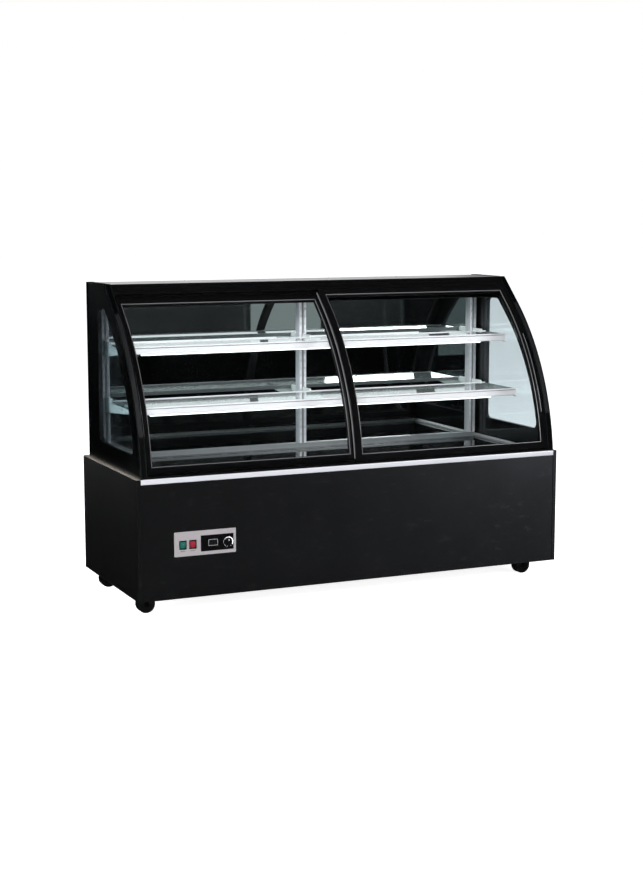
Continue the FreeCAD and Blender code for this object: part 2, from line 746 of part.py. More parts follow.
def make_standards():
    """Slotted channels that stand in front of the mirror."""
    standards = []
    for x in standard_x:
        x0, x1 = x - standard_width / 2, x + standard_width / 2
        post = box(x0, x1, standard_front, mirror_face, standard_low, overall_height - 30)
        groove = box(x - 5, x + 5, standard_front - 1, standard_front + 4, standard_low - 1, overall_height)
        slots = [box(sx - 1.5, sx + 1.5, standard_front - 1, mirror_face - 3, z, z + 12)
                 for sx in (x - 9, x + 9) for z in spread(20, standard_low + 30, overall_height - 70)]
        standards.append(post.cut(Part.makeCompound([groove] + slots)))
    save("shelf_standards", standards)


def make_brackets():
    """Tapered arms that hook on the standards and carry the rails."""
    arms = []
    for tier in ("lower", "upper"):
        top = shelf_tops[tier] - shelf_glass
        tip = shelf_fronts[tier] + rail_depth + 1
        outline = [(standard_front, top + 14), (standard_front, top - 46), (standard_front - 30, top - 46),
                   (tip, top - 20), (tip, top - 6), (shelf_rear - 12, top - 6), (shelf_rear + 10, top - 6),
                   (shelf_rear + 22, top + 14)]
        for x in standard_x:
            arms.append(prism_x(outline, x - 2.5, x + 2.5))
    save("shelf_brackets", arms)


def make_shelf_glass():
    for tier in ("lower", "upper"):
        top = shelf_tops[tier]
        glass = box(-shelf_half_length + 2, shelf_half_length - 2, shelf_fronts[tier] + 5, shelf_rear - 3,
                    top - shelf_glass, top)
        save(tier + "_shelf_glass", glass)


def make_shelf_rails():
    """White front rails with a seat for the glass and a moulded cap on each end."""
    rails = []
    for tier in ("lower", "upper"):
        top, front = shelf_tops[tier], shelf_fronts[tier]
        back, seat_low, foot = front + rail_depth, top - shelf_glass, top - rail_height
        outline = [(front, top + 2), (front + 4, top + 2), (front + 4, seat_low), (back, seat_low),
                   (back, seat_low - 5), (front + 5, seat_low - 5), (front + 5, foot), (front, foot + 2)]
        rails.append(prism_x(outline, -shelf_half_length + 6, shelf_half_length - 6))
        cap = [(front - 0.5, top + 3), (back, top + 3), (back, foot - 6), (front - 0.5, foot - 6)]
        for sign in (-1, 1):
            x0, x1 = sorted((sign * (shelf_half_length - 6), sign * shelf_half_length))
            block = prism_x(cap, x0, x1)
            seat = box(x0 - 1, x0 + 8, front + 5, front + 40, seat_low, top + 4)
            rails.append(block.cut(seat))
    save("shelf_rails", rails)


def make_shelf_lamps():
    """Diffusers of the light bars under each rail."""
    lamps = []
    for tier in ("lower", "upper"):
        top, front = shelf_tops[tier], shelf_fronts[tier]
        z = top - shelf_glass - 5
        lamps.append(box(-shelf_half_length + 70, shelf_half_length - 120, front + 5, front + rail_depth - 1,
                         top - rail_height - 5, z))
    save("shelf_lamps", lamps)


def make_rear_bars():
    """White bars that hold the rear edge of each glass."""
    bars = []
    for tier in ("lower", "upper"):
        top = shelf_tops[tier]
        outline = [(shelf_rear - 12, top - shelf_glass), (shelf_rear - 12, top - shelf_glass - 6),
                   (shelf_rear, top - shelf_glass - 6), (shelf_rear, top + 3), (shelf_rear - 3, top + 3),
                   (shelf_rear - 3, top - shelf_glass)]
        bars.append(prism_x(outline, -shelf_half_length, shelf_half_length))
    save("shelf_rear_bars", bars)


# ---------------------------------------------------------------- casters
def make_caster_plates():
    """Mounting plates with the fixed ball race of each caster."""
    plates = []
    for sx in (-1, 1):
        for sy in (-1, 1):
            x, y = sx * caster_x, sy * caster_y
            plate = box(x - 30, x + 30, y - 30, y + 30, pan_bottom - 3, pan_bottom)
            stem = cylinder(5.95, (x, y, fork_top - 14), (x, y, pan_bottom))
            plates.append(round_edges(plate, 6.0, upright_edge).fuse(stem).removeSplitter())
    save("caster_plates", plates)


def make_caster(side, x, y):
    """Twin-wheel caster: a hooded body that swivels on the stem, and a pair of wheels on its axle."""
    hub_x, hub_z = x - caster_trail, wheel_radius
    core_half = wheel_gap / 2 - wheel_play
    hood_radius = wheel_radius + 4.5
    hood_half = wheel_gap / 2 + wheel_width

    def across(radius, y0, y1):
        return cylinder(radius, (hub_x, y + y0, hub_z), (hub_x, y + y1, hub_z))

    core = across(wheel_radius - 4, -core_half, core_half)
    hood = across(hood_radius, -hood_half, hood_half)
    hood = hood.cut(across(hood_radius - hood_sheet, -hood_half - 1, hood_half + 1))
    upper = box(hub_x - 60, hub_x + 60, y - hood_half, y + hood_half, hub_z + 14, fork_top + 20)
    hood = hood.common(upper)
    web = box(hub_x - 12, hub_x + 12, y - core_half, y + core_half, hub_z + 10, hub_z + hood_radius - 1)
    head = cylinder(15, (x, y, fork_top - 18), (x, y, fork_top))
    wheel_space = across(hood_radius - hood_sheet + 0.1, core_half, hood_half + 1)
    other_space = across(hood_radius - hood_sheet + 0.1, -hood_half - 1, -core_half)
    head = head.cut(wheel_space).cut(other_space)
    axle = across(4, -hood_half - 1, hood_half + 1)
    bore = cylinder(6.0, (x, y, fork_top - 16), (x, y, fork_top + 1))
    body = core.fuse([hood, web, head, axle]).cut(bore)
    save("caster_fork_" + side, body.removeSplitter())
    wheels = []
    for sign in (-1, 1):
        y0, y1 = sorted((y + sign * wheel_gap / 2, y + sign * (wheel_gap / 2 + wheel_width - 1)))
        tyre = cylinder(wheel_radius, (hub_x, y0, hub_z), (hub_x, y1, hub_z))
        tyre = tyre.makeFillet(3.5, [e for e in tyre.Edges if e.Curve.TypeId == "Part::GeomCircle"])
        wheels.append(tyre.cut(cylinder(4.05, (hub_x, y0 - 1, hub_z), (hub_x, y1 + 1, hub_z))))
    save("caster_wheels_" + side, wheels)


def make_casters():
    for row, sy in (("front", -1), ("rear", 1)):
        for column, sx in (("left", -1), ("right", 1)):
            make_caster(row + "_" + column, sx * caster_x, sy * caster_y)


def make_condenser_blades():
    x, z = fan_centre
    save("condenser_fan_blades", fan_wheel(x, condenser_y - 30, z, 88, 20, 20, 4, 5))


os.makedirs("parts", exist_ok=True)
make_side_panels()
make_front_panel()
make_trim_strip()
make_floor_pan()
make_base_frame()
make_rear_panel()
make_tub()
make_deck()
make_deck_trims()
make_evaporator()
make_fan_plate()
make_evaporator_fans()
make_condenser()
make_condenser_shroud()
make_condenser_motor()
make_condenser_blades()
make_compressor()
make_pipes()
make_electrical_box()
make_power_inlet()
make_drain_pan()
make_control_plate()
make_switch_bodies()
make_rockers()
make_thermostat()
make_knob()
make_ends()
make_top_panel()
make_top_beam()
make_back()
make_bottom_track()
make_doors()
make_standards()
make_brackets()
make_shelf_glass()
make_shelf_rails()
make_shelf_lamps()
make_rear_bars()
make_caster_plates()
make_casters()
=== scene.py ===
"""Looks of a refrigerated bakery display case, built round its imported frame."""
import json
import logging
import math
from dataclasses import dataclass, field
from enum import Enum
from typing import Any, Callable, Iterable, Sequence

import bmesh
import bpy
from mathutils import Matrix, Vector

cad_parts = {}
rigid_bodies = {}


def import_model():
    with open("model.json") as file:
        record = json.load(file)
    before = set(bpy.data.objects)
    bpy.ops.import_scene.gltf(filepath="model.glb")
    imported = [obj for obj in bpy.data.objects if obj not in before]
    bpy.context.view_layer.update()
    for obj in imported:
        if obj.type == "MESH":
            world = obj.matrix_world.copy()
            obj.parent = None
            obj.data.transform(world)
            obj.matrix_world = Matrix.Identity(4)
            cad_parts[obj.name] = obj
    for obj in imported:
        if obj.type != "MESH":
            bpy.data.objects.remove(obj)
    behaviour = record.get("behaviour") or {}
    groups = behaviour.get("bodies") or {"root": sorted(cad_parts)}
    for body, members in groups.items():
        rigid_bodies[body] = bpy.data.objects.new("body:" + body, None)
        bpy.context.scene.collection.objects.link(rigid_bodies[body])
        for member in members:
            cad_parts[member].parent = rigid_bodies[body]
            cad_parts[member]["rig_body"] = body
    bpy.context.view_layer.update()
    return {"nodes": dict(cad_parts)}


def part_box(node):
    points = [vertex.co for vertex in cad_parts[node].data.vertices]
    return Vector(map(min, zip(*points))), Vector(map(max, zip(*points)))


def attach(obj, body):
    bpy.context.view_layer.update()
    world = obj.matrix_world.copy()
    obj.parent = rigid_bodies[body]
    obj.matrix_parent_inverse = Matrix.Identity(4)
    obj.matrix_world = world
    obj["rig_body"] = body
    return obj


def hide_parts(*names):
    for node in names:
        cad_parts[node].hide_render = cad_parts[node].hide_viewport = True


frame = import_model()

LOG = logging.getLogger("display_case")
MM = 0.001

Colour = tuple[float, float, float]
Pair = tuple[float, float]
Triple = tuple[float, float, float]


class Slot(Enum):
    """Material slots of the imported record."""

    LAMINATE = "laminate_black"
    FRAME = "frame_black"
    TRIM = "silver_trim"
    STAINLESS = "stainless"
    PLATE = "control_plate"
    GALVANISED = "galvanised"
    REAR = "rear_black"
    WALL = "insulated_wall"
    LINER = "tub_liner"
    CLEAR_GLASS = "clear_glass"
    DOOR_GLASS = "door_glass"
    SHELF_GLASS = "shelf_glass"
    FRIT = "frit_black"
    MIRROR = "mirror"
    DECK = "deck_black"
    DECK_TRIM = "deck_trim"
    RAIL = "rail_white"
    LAMP = "lamp_diffuser"
    STANDARD = "standard_silver"
    BRACKET = "bracket_white"
    FINS = "coil_aluminium"
    COPPER = "copper"
    COMPRESSOR = "compressor_black"
    MOTOR = "motor_grey"
    FAN = "fan_plastic"
    TRAY = "tray_plastic"
    PLASTIC = "black_plastic"
    GREEN_KEY = "rocker_green"
    RED_KEY = "rocker_red"
    CASTER = "caster_black"
    TYRE = "tyre_black"


class Grain(Enum):
    """Surface patterns that a solid finish can carry."""

    LACQUER = "lacquer"
    BRUSHED = "brushed"
    DRAWN = "drawn"
    SPANGLE = "spangle"
    MOULDED = "moulded"
    CAST = "cast"


class Lit(Enum):
    """How a piece is lit: which of the studio's lamps it receives."""

    PALE = "pale"
    DARK = "dark"
    BOARD = "board"
    GLASS = "glass"
    SHELF_GLASS = "shelf_glass"
    MIRROR = "mirror"


LIT_BY_SLOT: dict[Slot, Lit] = {
    Slot.LAMINATE: Lit.BOARD, Slot.FRAME: Lit.DARK, Slot.REAR: Lit.DARK, Slot.WALL: Lit.DARK,
    Slot.FRIT: Lit.DARK, Slot.DECK: Lit.DARK, Slot.PLASTIC: Lit.DARK, Slot.CASTER: Lit.DARK,
    Slot.TYRE: Lit.DARK, Slot.CLEAR_GLASS: Lit.GLASS, Slot.DOOR_GLASS: Lit.GLASS,
    Slot.SHELF_GLASS: Lit.SHELF_GLASS, Slot.MIRROR: Lit.MIRROR,
}


class Value:
    """A number that varies over a surface; arithmetic on it adds Math nodes."""

    def __init__(self, shader: "Shader", socket: bpy.types.NodeSocket) -> None:
        """Wraps one output socket of a shader."""
        self.shader = shader
        self.socket = socket

    def _math(self, operation: str, first: Any, second: Any) -> "Value":
        """Adds one Math node.

        Args:
            operation: The node's operation.
            first: The first operand, a number or a value.
            second: The second operand.

        Returns:
            The node's result.
        """
        made = self.shader.node("ShaderNodeMath", {"operation": operation}, {0: first, 1: second})
        return Value(self.shader, made.outputs[0])

    def __add__(self, other: Any) -> "Value":
        """Returns the sum."""
        return self._math("ADD", self, other)

    __radd__ = __add__

    def __sub__(self, other: Any) -> "Value":
        """Returns the difference."""
        return self._math("SUBTRACT", self, other)

    def __rsub__(self, other: Any) -> "Value":
        """Returns the difference, the other way round."""
        return self._math("SUBTRACT", other, self)

    def __mul__(self, other: Any) -> "Value":
        """Returns the product."""
        return self._math("MULTIPLY", self, other)

    __rmul__ = __mul__

    def __pow__(self, other: Any) -> "Value":
        """Returns the power."""
        return self._math("POWER", self, other)

    def __gt__(self, other: Any) -> "Value":
        """Returns 1 where the value is above the other, else 0."""
        return self._math("GREATER_THAN", self, other)

    def clamped(self, low: float = 0.0, high: float = 1.0) -> "Value":
        """Returns the value held between two numbers."""
        return self._math("MINIMUM", self._math("MAXIMUM", self, low), high)


class Shader:
    """Builds one material's nodes."""

    def __init__(self, name: str, world: bpy.types.World | None = None) -> None:
        """Starts an empty material, or clears a world's nodes.

        Args:
            name: The material's name.
            world: The world, where the nodes are those of one.
        """
        self.material = world or bpy.data.materials.new(name)
        self.material.use_nodes = True
        self.tree = self.material.node_tree
        self.tree.nodes.clear()

    def node(self, kind: str, settings: dict[str, Any], sockets: dict[Any, Any]) -> bpy.types.Node:
        """Adds a node of any type.

        Args:
            kind: The node's type.
            settings: Its own settings, set first; "stops" holds a ramp's positions and colours.
            sockets: Values or links of its inputs, by name or number.

        Returns:
            The node.
        """
        made = self.tree.nodes.new(kind)
        for key, value in settings.items():
            if key == "stops":
                for element, (position, colour) in zip(made.color_ramp.elements, value):
                    element.position = position
                    element.color = (*colour, 1.0)
            else:
                setattr(made, key, value)
        for key, value in sockets.items():
            target = made.inputs[key]
            if isinstance(value, Value):
                self.tree.links.new(value.socket, target)
            elif isinstance(value, bpy.types.NodeSocket):
                self.tree.links.new(value, target)
            elif isinstance(value, tuple) and len(value) == 3 and target.type == "RGBA":
                target.default_value = (*value, 1.0)
            else:
                target.default_value = value
        return made

    def place(self, stretch: Triple = (1.0, 1.0, 1.0)) -> bpy.types.NodeSocket:
        """Gives the piece's own coordinates in metres.

        Args:
            stretch: A factor along each axis.

        Returns:
            The coordinates, stretched.
        """
        own = self.node("ShaderNodeTexCoord", {}, {}).outputs["Object"]
        if stretch == (1.0, 1.0, 1.0):
            return own
        scaled = self.node("ShaderNodeVectorMath", {"operation": "MULTIPLY"}, {0: own, 1: stretch})
        return scaled.outputs[0]

    def noise(self, scale: float, detail: float = 2.0, stretch: Triple = (1.0, 1.0, 1.0)) -> Value:
        """Returns smooth noise from 0 to 1.

        Args:
            scale: Patches per metre.
            detail: How many finer layers are added.
            stretch: A factor on the scale along each axis.

        Returns:
            The noise.
        """
        made = self.node("ShaderNodeTexNoise", {}, {
            "Vector": self.place(stretch), "Scale": scale, "Detail": detail, "Roughness": 0.55})
        return Value(self, made.outputs["Fac"])

    def cells(self, scale: float) -> Value:
        """Gives a crystal-like pattern.

        Args:
            scale: Cells per metre.

        Returns:
            A different number from 0 to 1 for each cell.
        """
        made = self.node("ShaderNodeTexVoronoi", {}, {"Vector": self.place(), "Scale": scale})
        split = self.node("ShaderNodeSeparateColor", {}, {0: made.outputs["Color"]})
        return Value(self, split.outputs[0])

    def upward(self) -> Value:
        """Tells which faces look up.

        Returns:
            How much the surface faces up, from -1 to 1.
        """
        normal = self.node("ShaderNodeNewGeometry", {}, {}).outputs["Normal"]
        split = self.node("ShaderNodeSeparateXYZ", {}, {0: normal})
        return Value(self, split.outputs[2])

    def blend(self, share: Any, first: Any, second: Any) -> bpy.types.NodeSocket:
        """Returns a colour between two, by a share from 0 to 1."""
        made = self.node("ShaderNodeMix", {"data_type": "RGBA"}, {0: share, 6: first, 7: second})
        return made.outputs[2]

    def bumped(self, height: Value, depth: float) -> bpy.types.NodeSocket:
        """Returns a normal for a relief of some depth in metres."""
        made = self.node("ShaderNodeBump", {}, {"Height": height, "Distance": depth, "Strength": 1.0})
        return made.outputs[0]

    def finish(self, surface: bpy.types.NodeSocket) -> bpy.types.Material:
        """Connects the surface and returns the material."""
        self.node("ShaderNodeOutputMaterial", {}, {"Surface": surface})
        return self.material


def scaled(colour: Colour, factor: float) -> Colour:
    """Returns a colour made lighter or darker, held at 1."""
    return tuple(min(1.0, part * factor) for part in colour)


@dataclass(frozen=True)
class SolidFinish:
    """An opaque finish: paint, metal, board or plastic with its own grain.

    Attributes:
        colour: Linear base colour.
        metallic: Share of bare metal.
        roughness: Mean roughness.
        grain: The pattern of the surface.
        fineness: Grain features per metre.
        relief: Depth of the grain in metres.
        mottle: Share by which the colour wanders.
        unevenness: Share by which the roughness wanders.
        dust: Share of pale dust on faces that look up.
        coat: Weight of a clear coat.
        coat_roughness: Roughness of that coat.
        specular: Specular level.
        along: The axis that brushed or drawn lines run along, 0 to 2.
        glow: Strength of its own light.
        glow_colour: Colour of its own light.
    """

    colour: Colour
    metallic: float = 0.0
    roughness: float = 0.45
    grain: Grain = Grain.MOULDED
    fineness: float = 900.0
    relief: float = 0.00002
    mottle: float = 0.12
    unevenness: float = 0.18
    dust: float = 0.05
    coat: float = 0.0
    coat_roughness: float = 0.1
    specular: float = 0.5
    along: int = 0
    glow: float = 0.0
    glow_colour: Colour = (1.0, 1.0, 1.0)

    def _pattern(self, shader: Shader) -> tuple[Value, Value]:
        """Makes the grain.

        Args:
            shader: The shader that is being built.

        Returns:
            The tone of the grain and its height, both from 0 to 1.
        """
        lines = tuple(0.012 if axis == self.along else 1.0 for axis in range(3))
        if self.grain is Grain.BRUSHED:
            tone = shader.noise(self.fineness, 3.0, lines)
            return tone, tone
        if self.grain is Grain.DRAWN:
            tone = shader.noise(self.fineness, 1.0, tuple(part * 0.4 if part < 1 else 1.0 for part in lines))
            return shader.noise(30.0, 2.0), tone
        if self.grain is Grain.SPANGLE:
            tone = shader.cells(self.fineness)
            return tone, shader.noise(self.fineness * 4, 2.0)
        if self.grain is Grain.CAST:
            tone = shader.noise(self.fineness, 6.0)
            return tone, tone * 0.6 + shader.cells(self.fineness * 3) * 0.4
        if self.grain is Grain.LACQUER:
            return shader.noise(2.5, 3.0), shader.noise(self.fineness, 1.0)
        return shader.noise(60.0, 4.0), shader.noise(self.fineness, 3.0)

    def build(self, name: str) -> bpy.types.Material:
        """Makes the material.

        Args:
            name: The material's name.

        Returns:
            The material.
        """
        shader = Shader(name)
        tone, height = self._pattern(shader)
        patches = shader.noise(7.0, 4.0)
        share = (tone * 0.7 + patches * 0.6 - 0.15).clamped()
        deep, pale = scaled(self.colour, 1 - self.mottle), scaled(self.colour, 1 + self.mottle)
        colour = shader.blend(share, deep, pale)
        scuffs = (shader.noise(22.0, 6.0, (1.0, 1.0, 3.0)) > 0.64) * shader.noise(160.0, 2.0)
        settled = (shader.upward() - 0.55).clamped() * 2.2 * shader.noise(45.0, 5.0) * self.dust
        colour = shader.blend((settled + scuffs * 0.02).clamped(), colour, (0.42, 0.41, 0.39))
        wander = (patches - 0.5) * (2 * self.unevenness * self.roughness)
        rough = (wander + self.roughness + scuffs * 0.07 + settled * 0.4 + (tone - 0.5) * 0.04).clamped(0.02)
        surface = shader.node("ShaderNodeBsdfPrincipled", {}, {
            "Base Color": colour, "Metallic": self.metallic, "Roughness": rough,
            "Specular IOR Level": self.specular, "Coat Weight": self.coat,
            "Coat Roughness": self.coat_roughness, "Emission Color": self.glow_colour,
            "Emission Strength": self.glow, "Normal": shader.bumped(height, self.relief)})
        return shader.finish(surface.outputs[0])


@dataclass(frozen=True)
class GlassFinish:
    """Clear sheet glass: light goes straight through, and its faces mirror more at a low angle.

    Attributes:
        tint: What each face lets through.
        film: Share of a thin pale film of wiping marks.
        gloss: Roughness of the mirrored light.
        painted_sheen: Share of an even, thin pale diffuse layer, a painted sheen in place of the glass's
            bright reflection.
    """

    tint: Colour = (0.965, 0.975, 0.975)
    film: float = 0.006
    gloss: float = 0.004
    painted_sheen: float = 0.0

    def build(self, name: str) -> bpy.types.Material:
        """Makes the material.

        Args:
            name: The material's name.

        Returns:
            The material.
        """
        shader = Shader(name)
        facing = Value(shader, shader.node("ShaderNodeLayerWeight", {}, {"Blend": 0.5}).outputs["Facing"])
        mirrored = 0.04 + 0.96 * facing ** 5
        wiped = (shader.noise(5.0, 5.0, (1.0, 1.0, 0.35)) - 0.45).clamped() * 4.0
        clear = shader.node("ShaderNodeBsdfTransparent", {}, {"Color": self.tint})
        film = shader.node("ShaderNodeBsdfDiffuse", {}, {"Color": (0.8, 0.84, 0.85)})
        rough = self.gloss + wiped * 0.01
        shine = shader.node("ShaderNodeBsdfGlossy", {}, {"Color": (1.0, 1.0, 1.0), "Roughness": rough})
        # The pale diffuse share is wiping marks plus the painted sheen.
        body = shader.node("ShaderNodeMixShader", {}, {
            0: (wiped * self.film + self.painted_sheen).clamped(), 1: clear.outputs[0], 2: film.outputs[0]})
        surface = shader.node("ShaderNodeMixShader", {}, {
            0: mirrored, 1: body.outputs[0], 2: shine.outputs[0]})
        return shader.finish(surface.outputs[0])


FINISHES: dict[Slot, Any] = {
    Slot.LAMINATE: SolidFinish((0.0055, 0.0055, 0.0060), 0.0, 0.31, Grain.LACQUER, 260.0, 0.000012,
                               mottle=0.1, unevenness=0.08, dust=0.03),
    Slot.FRAME: SolidFinish((0.0055, 0.0055, 0.0065), 0.0, 0.30, Grain.DRAWN, 700.0, 0.000015),
    Slot.TRIM: SolidFinish((0.38, 0.385, 0.415), 0.35, 0.36, Grain.BRUSHED, 1300.0, 0.000012, mottle=0.05),
    Slot.STAINLESS: SolidFinish((0.34, 0.34, 0.345), 0.7, 0.34, Grain.BRUSHED, 1500.0, 0.00001, mottle=0.06),
    Slot.PLATE: SolidFinish((0.215, 0.200, 0.208), 0.3, 0.38, Grain.BRUSHED, 2200.0, 0.000008, mottle=0.07),
    Slot.GALVANISED: SolidFinish((0.50, 0.51, 0.52), 0.8, 0.42, Grain.SPANGLE, 90.0, 0.00001, mottle=0.16),
    Slot.REAR: SolidFinish((0.014, 0.014, 0.015), 0.0, 0.48, Grain.CAST, 900.0, 0.00004),
    Slot.WALL: SolidFinish((0.010, 0.010, 0.011), 0.0, 0.42, Grain.CAST, 700.0, 0.00003),
    Slot.LINER: SolidFinish((0.60, 0.61, 0.62), 0.6, 0.40, Grain.BRUSHED, 1000.0, 0.00001),
    Slot.CLEAR_GLASS: GlassFinish((0.905, 0.935, 0.945), 0.010),
    Slot.DOOR_GLASS: GlassFinish((0.975, 0.982, 0.982), 0.004),
    # The shelf glass carries a painted sheen: an even pale layer that stands in for the bright reflection on
    # its top.
    Slot.SHELF_GLASS: GlassFinish((0.93, 0.965, 0.955), 0.0, 0.008, 0.17),
    Slot.FRIT: SolidFinish((0.0035, 0.0035, 0.004), 0.0, 0.30, Grain.MOULDED, 1800.0, 0.000006, dust=0.0),
    Slot.MIRROR: SolidFinish((0.80, 0.845, 0.84), 1.0, 0.016, Grain.LACQUER, 8.0, 0.000001,
                             mottle=0.01, unevenness=0.1, dust=0.0),
    Slot.DECK: SolidFinish((0.006, 0.006, 0.007), 0.0, 0.07, Grain.LACQUER, 220.0, 0.000004,
                           dust=0.01, specular=0.28),
    Slot.DECK_TRIM: SolidFinish((0.20, 0.215, 0.225), 0.3, 0.34, Grain.DRAWN, 900.0, 0.00001),
    Slot.RAIL: SolidFinish((0.50, 0.50, 0.52), 0.0, 0.36, Grain.LACQUER, 500.0, 0.000012, mottle=0.03,
                           dust=0.02, coat=0.3),
    Slot.LAMP: SolidFinish((0.9, 0.92, 0.92), 0.0, 0.4, Grain.DRAWN, 500.0, 0.00002, mottle=0.02,
                           dust=0.0, glow=1.2, glow_colour=(0.94, 0.98, 1.0)),
    Slot.STANDARD: SolidFinish((0.62, 0.63, 0.67), 0.3, 0.34, Grain.BRUSHED, 1400.0, 0.00001,
                               mottle=0.08, along=2),
    Slot.BRACKET: SolidFinish((0.66, 0.72, 0.71), 0.0, 0.35, Grain.LACQUER, 420.0, 0.000014, mottle=0.05),
    Slot.FINS: SolidFinish((0.66, 0.67, 0.68), 0.85, 0.36, Grain.BRUSHED, 900.0, 0.00001, along=2),
    Slot.COPPER: SolidFinish((0.72, 0.34, 0.20), 1.0, 0.28, Grain.CAST, 160.0, 0.00002,
                             mottle=0.22, unevenness=0.4),
    Slot.COMPRESSOR: SolidFinish((0.012, 0.012, 0.013), 0.0, 0.32, Grain.LACQUER, 320.0, 0.00005, dust=0.3),
    Slot.MOTOR: SolidFinish((0.20, 0.205, 0.21), 0.55, 0.45, Grain.CAST, 600.0, 0.00005, dust=0.2),
    Slot.FAN: SolidFinish((0.03, 0.031, 0.033), 0.0, 0.42, Grain.MOULDED, 1200.0, 0.00003, dust=0.2),
    Slot.TRAY: SolidFinish((0.035, 0.036, 0.038), 0.0, 0.5, Grain.MOULDED, 1100.0, 0.00003, dust=0.2),
    Slot.PLASTIC: SolidFinish((0.0045, 0.004, 0.005), 0.0, 0.34, Grain.MOULDED, 1800.0, 0.00002),
    Slot.GREEN_KEY: SolidFinish((0.008, 0.052, 0.041), 0.0, 0.22, Grain.MOULDED, 1600.0, 0.00001, coat=0.3,
                                glow=0.02, glow_colour=(0.05, 0.9, 0.6)),
    Slot.RED_KEY: SolidFinish((0.125, 0.010, 0.016), 0.0, 0.22, Grain.MOULDED, 1600.0, 0.00001, coat=0.3,
                              glow=0.02, glow_colour=(1.0, 0.06, 0.1)),
    Slot.CASTER: SolidFinish((0.006, 0.006, 0.0065), 0.0, 0.40, Grain.MOULDED, 1300.0, 0.00004, dust=0.1),
    Slot.TYRE: SolidFinish((0.007, 0.007, 0.0075), 0.0, 0.55, Grain.CAST, 1400.0, 0.00006, dust=0.12),
}

END_EDGE = SolidFinish((0.010, 0.014, 0.014), 0.0, 0.18, Grain.DRAWN, 900.0, 0.00002, specular=0.6)
RAW_BOARD = SolidFinish((0.14, 0.12, 0.092), 0.0, 0.62, Grain.CAST, 700.0, 0.00006, mottle=0.3)
GLASS_EDGE = SolidFinish((0.16, 0.25, 0.235), 0.0, 0.22, Grain.DRAWN, 900.0, 0.00002,
                         mottle=0.2, specular=0.7)
SPACER = SolidFinish((0.10, 0.10, 0.105), 0.7, 0.35, Grain.DRAWN, 900.0, 0.00002)
# Dark grey painted shade, laid in the grooves of the rails and the standards.
GROOVE_PAINTED_SHADE = SolidFinish((0.16, 0.16, 0.165), 0.0, 0.5, Grain.DRAWN, 900.0, 0.00002)
RUBBER = SolidFinish((0.006, 0.006, 0.006), 0.0, 0.6, Grain.MOULDED, 1500.0, 0.00003)
# Light grey lines: the glazing bead, partly a painted highlight, and the painted highlight lines of the pull
# and the meeting edge.
BEAD_AND_PAINTED_HIGHLIGHT = SolidFinish((0.15, 0.15, 0.16), 0.3, 0.34, Grain.BRUSHED, 1500.0, 0.00001)
PRINT_WHITE = SolidFinish((0.80, 0.80, 0.80), 0.0, 0.5, Grain.MOULDED, 2400.0, 0.000008, dust=0.0)
PRINT_GREY = SolidFinish((0.22, 0.22, 0.225), 0.0, 0.5, Grain.MOULDED, 2400.0, 0.000008, dust=0.0)
PRINT_DARK = SolidFinish((0.03, 0.03, 0.032), 0.0, 0.5, Grain.MOULDED, 2400.0, 0.000008, dust=0.0)
ZINC_SCREW = SolidFinish((0.46, 0.46, 0.47), 0.9, 0.34, Grain.CAST, 1800.0, 0.00002)


class Form:
    """A mesh in the making."""

    def __init__(self) -> None:
        """Starts with no points."""
        self.mesh = bmesh.new()

    def loop(self, points: Iterable[Sequence[float]]) -> list[bmesh.types.BMVert]:
        """Adds points and returns them."""
        return [self.mesh.verts.new(point) for point in points]

    def skin(self, loops: list[list[bmesh.types.BMVert]], closed: bool = True, capped: bool = True) -> None:
        """Joins loops of equal length by faces.

        Args:
            loops: The loops, in order.
            closed: Whether each loop closes on itself.
            capped: Whether the first and last loops are filled.
        """
        size = len(loops[0])
        for first, second in zip(loops, loops[1:]):
            for here in range(size if closed else size - 1):
                after = (here + 1) % size
                self.mesh.faces.new((first[here], first[after], second[after], second[here]))
        if capped:
            self.mesh.faces.new(loops[0])
            self.mesh.faces.new(loops[-1][::-1])

    def prism(self, profile: Sequence[Pair], x0: float, x1: float) -> None:
        """Adds a bar along X with a profile of (y, z) points."""
        self.skin([self.loop((x, y, z) for y, z in profile) for x in (x0, x1)])

    def slab(self, low: Triple, high: Triple) -> None:
        """Adds a bar between two corners."""
        (x0, y0, z0), (x1, y1, z1) = low, high
        self.prism(((y0, z0), (y1, z0), (y1, z1), (y0, z1)), x0, x1)

    def turned(self, profile: Sequence[Pair], centre: Triple, axis: Triple, around: int = 32) -> None:
        """Adds a turned solid.

        Args:
            profile: (radius, height) points from one end to the other, radii above 0.
            centre: The foot of its axis.
            axis: The direction of its axis.
            around: How many sides it has.
        """
        turn = Vector((0, 0, 1)).rotation_difference(Vector(axis)).to_matrix()
        loops = []
        for radius, height in profile:
            ring = (Vector((radius * math.cos(a), radius * math.sin(a), height))
                    for a in (math.tau * step / around for step in range(around)))
            loops.append(self.loop(Vector(centre) + turn @ point for point in ring))
        self.skin(loops)

    def screw(self, centre: Triple, axis: Triple, radius: float = 3.2 * MM) -> None:
        """Adds a pan-head screw with a cross recess.

        Args:
            centre: The middle of its seat.
            axis: The direction its head faces.
            radius: The head's radius.
        """
        turn = Vector((0, 0, 1)).rotation_difference(Vector(axis)).to_matrix()
        around, rows = 24, 7
        dome, recess, arm, reach = 0.5, 0.3, 0.14, 0.62
        loops = []
        for row in range(rows + 1):
            share = 1 - row / rows * 0.93
            ring = []
            for step in range(around):
                angle = math.tau * step / around
                x, y = share * math.cos(angle), share * math.sin(angle)
                in_cross = min(abs(x), abs(y)) < arm and max(abs(x), abs(y)) < reach
                sunk = recess if in_cross else 0.0
                rise = dome * math.sqrt(max(0.0, 1 - share ** 4)) - sunk if row else 0.0
                ring.append(Vector(centre) + turn @ (Vector((x, y, rise)) * radius))
            loops.append(self.loop(ring))
        self.skin(loops)


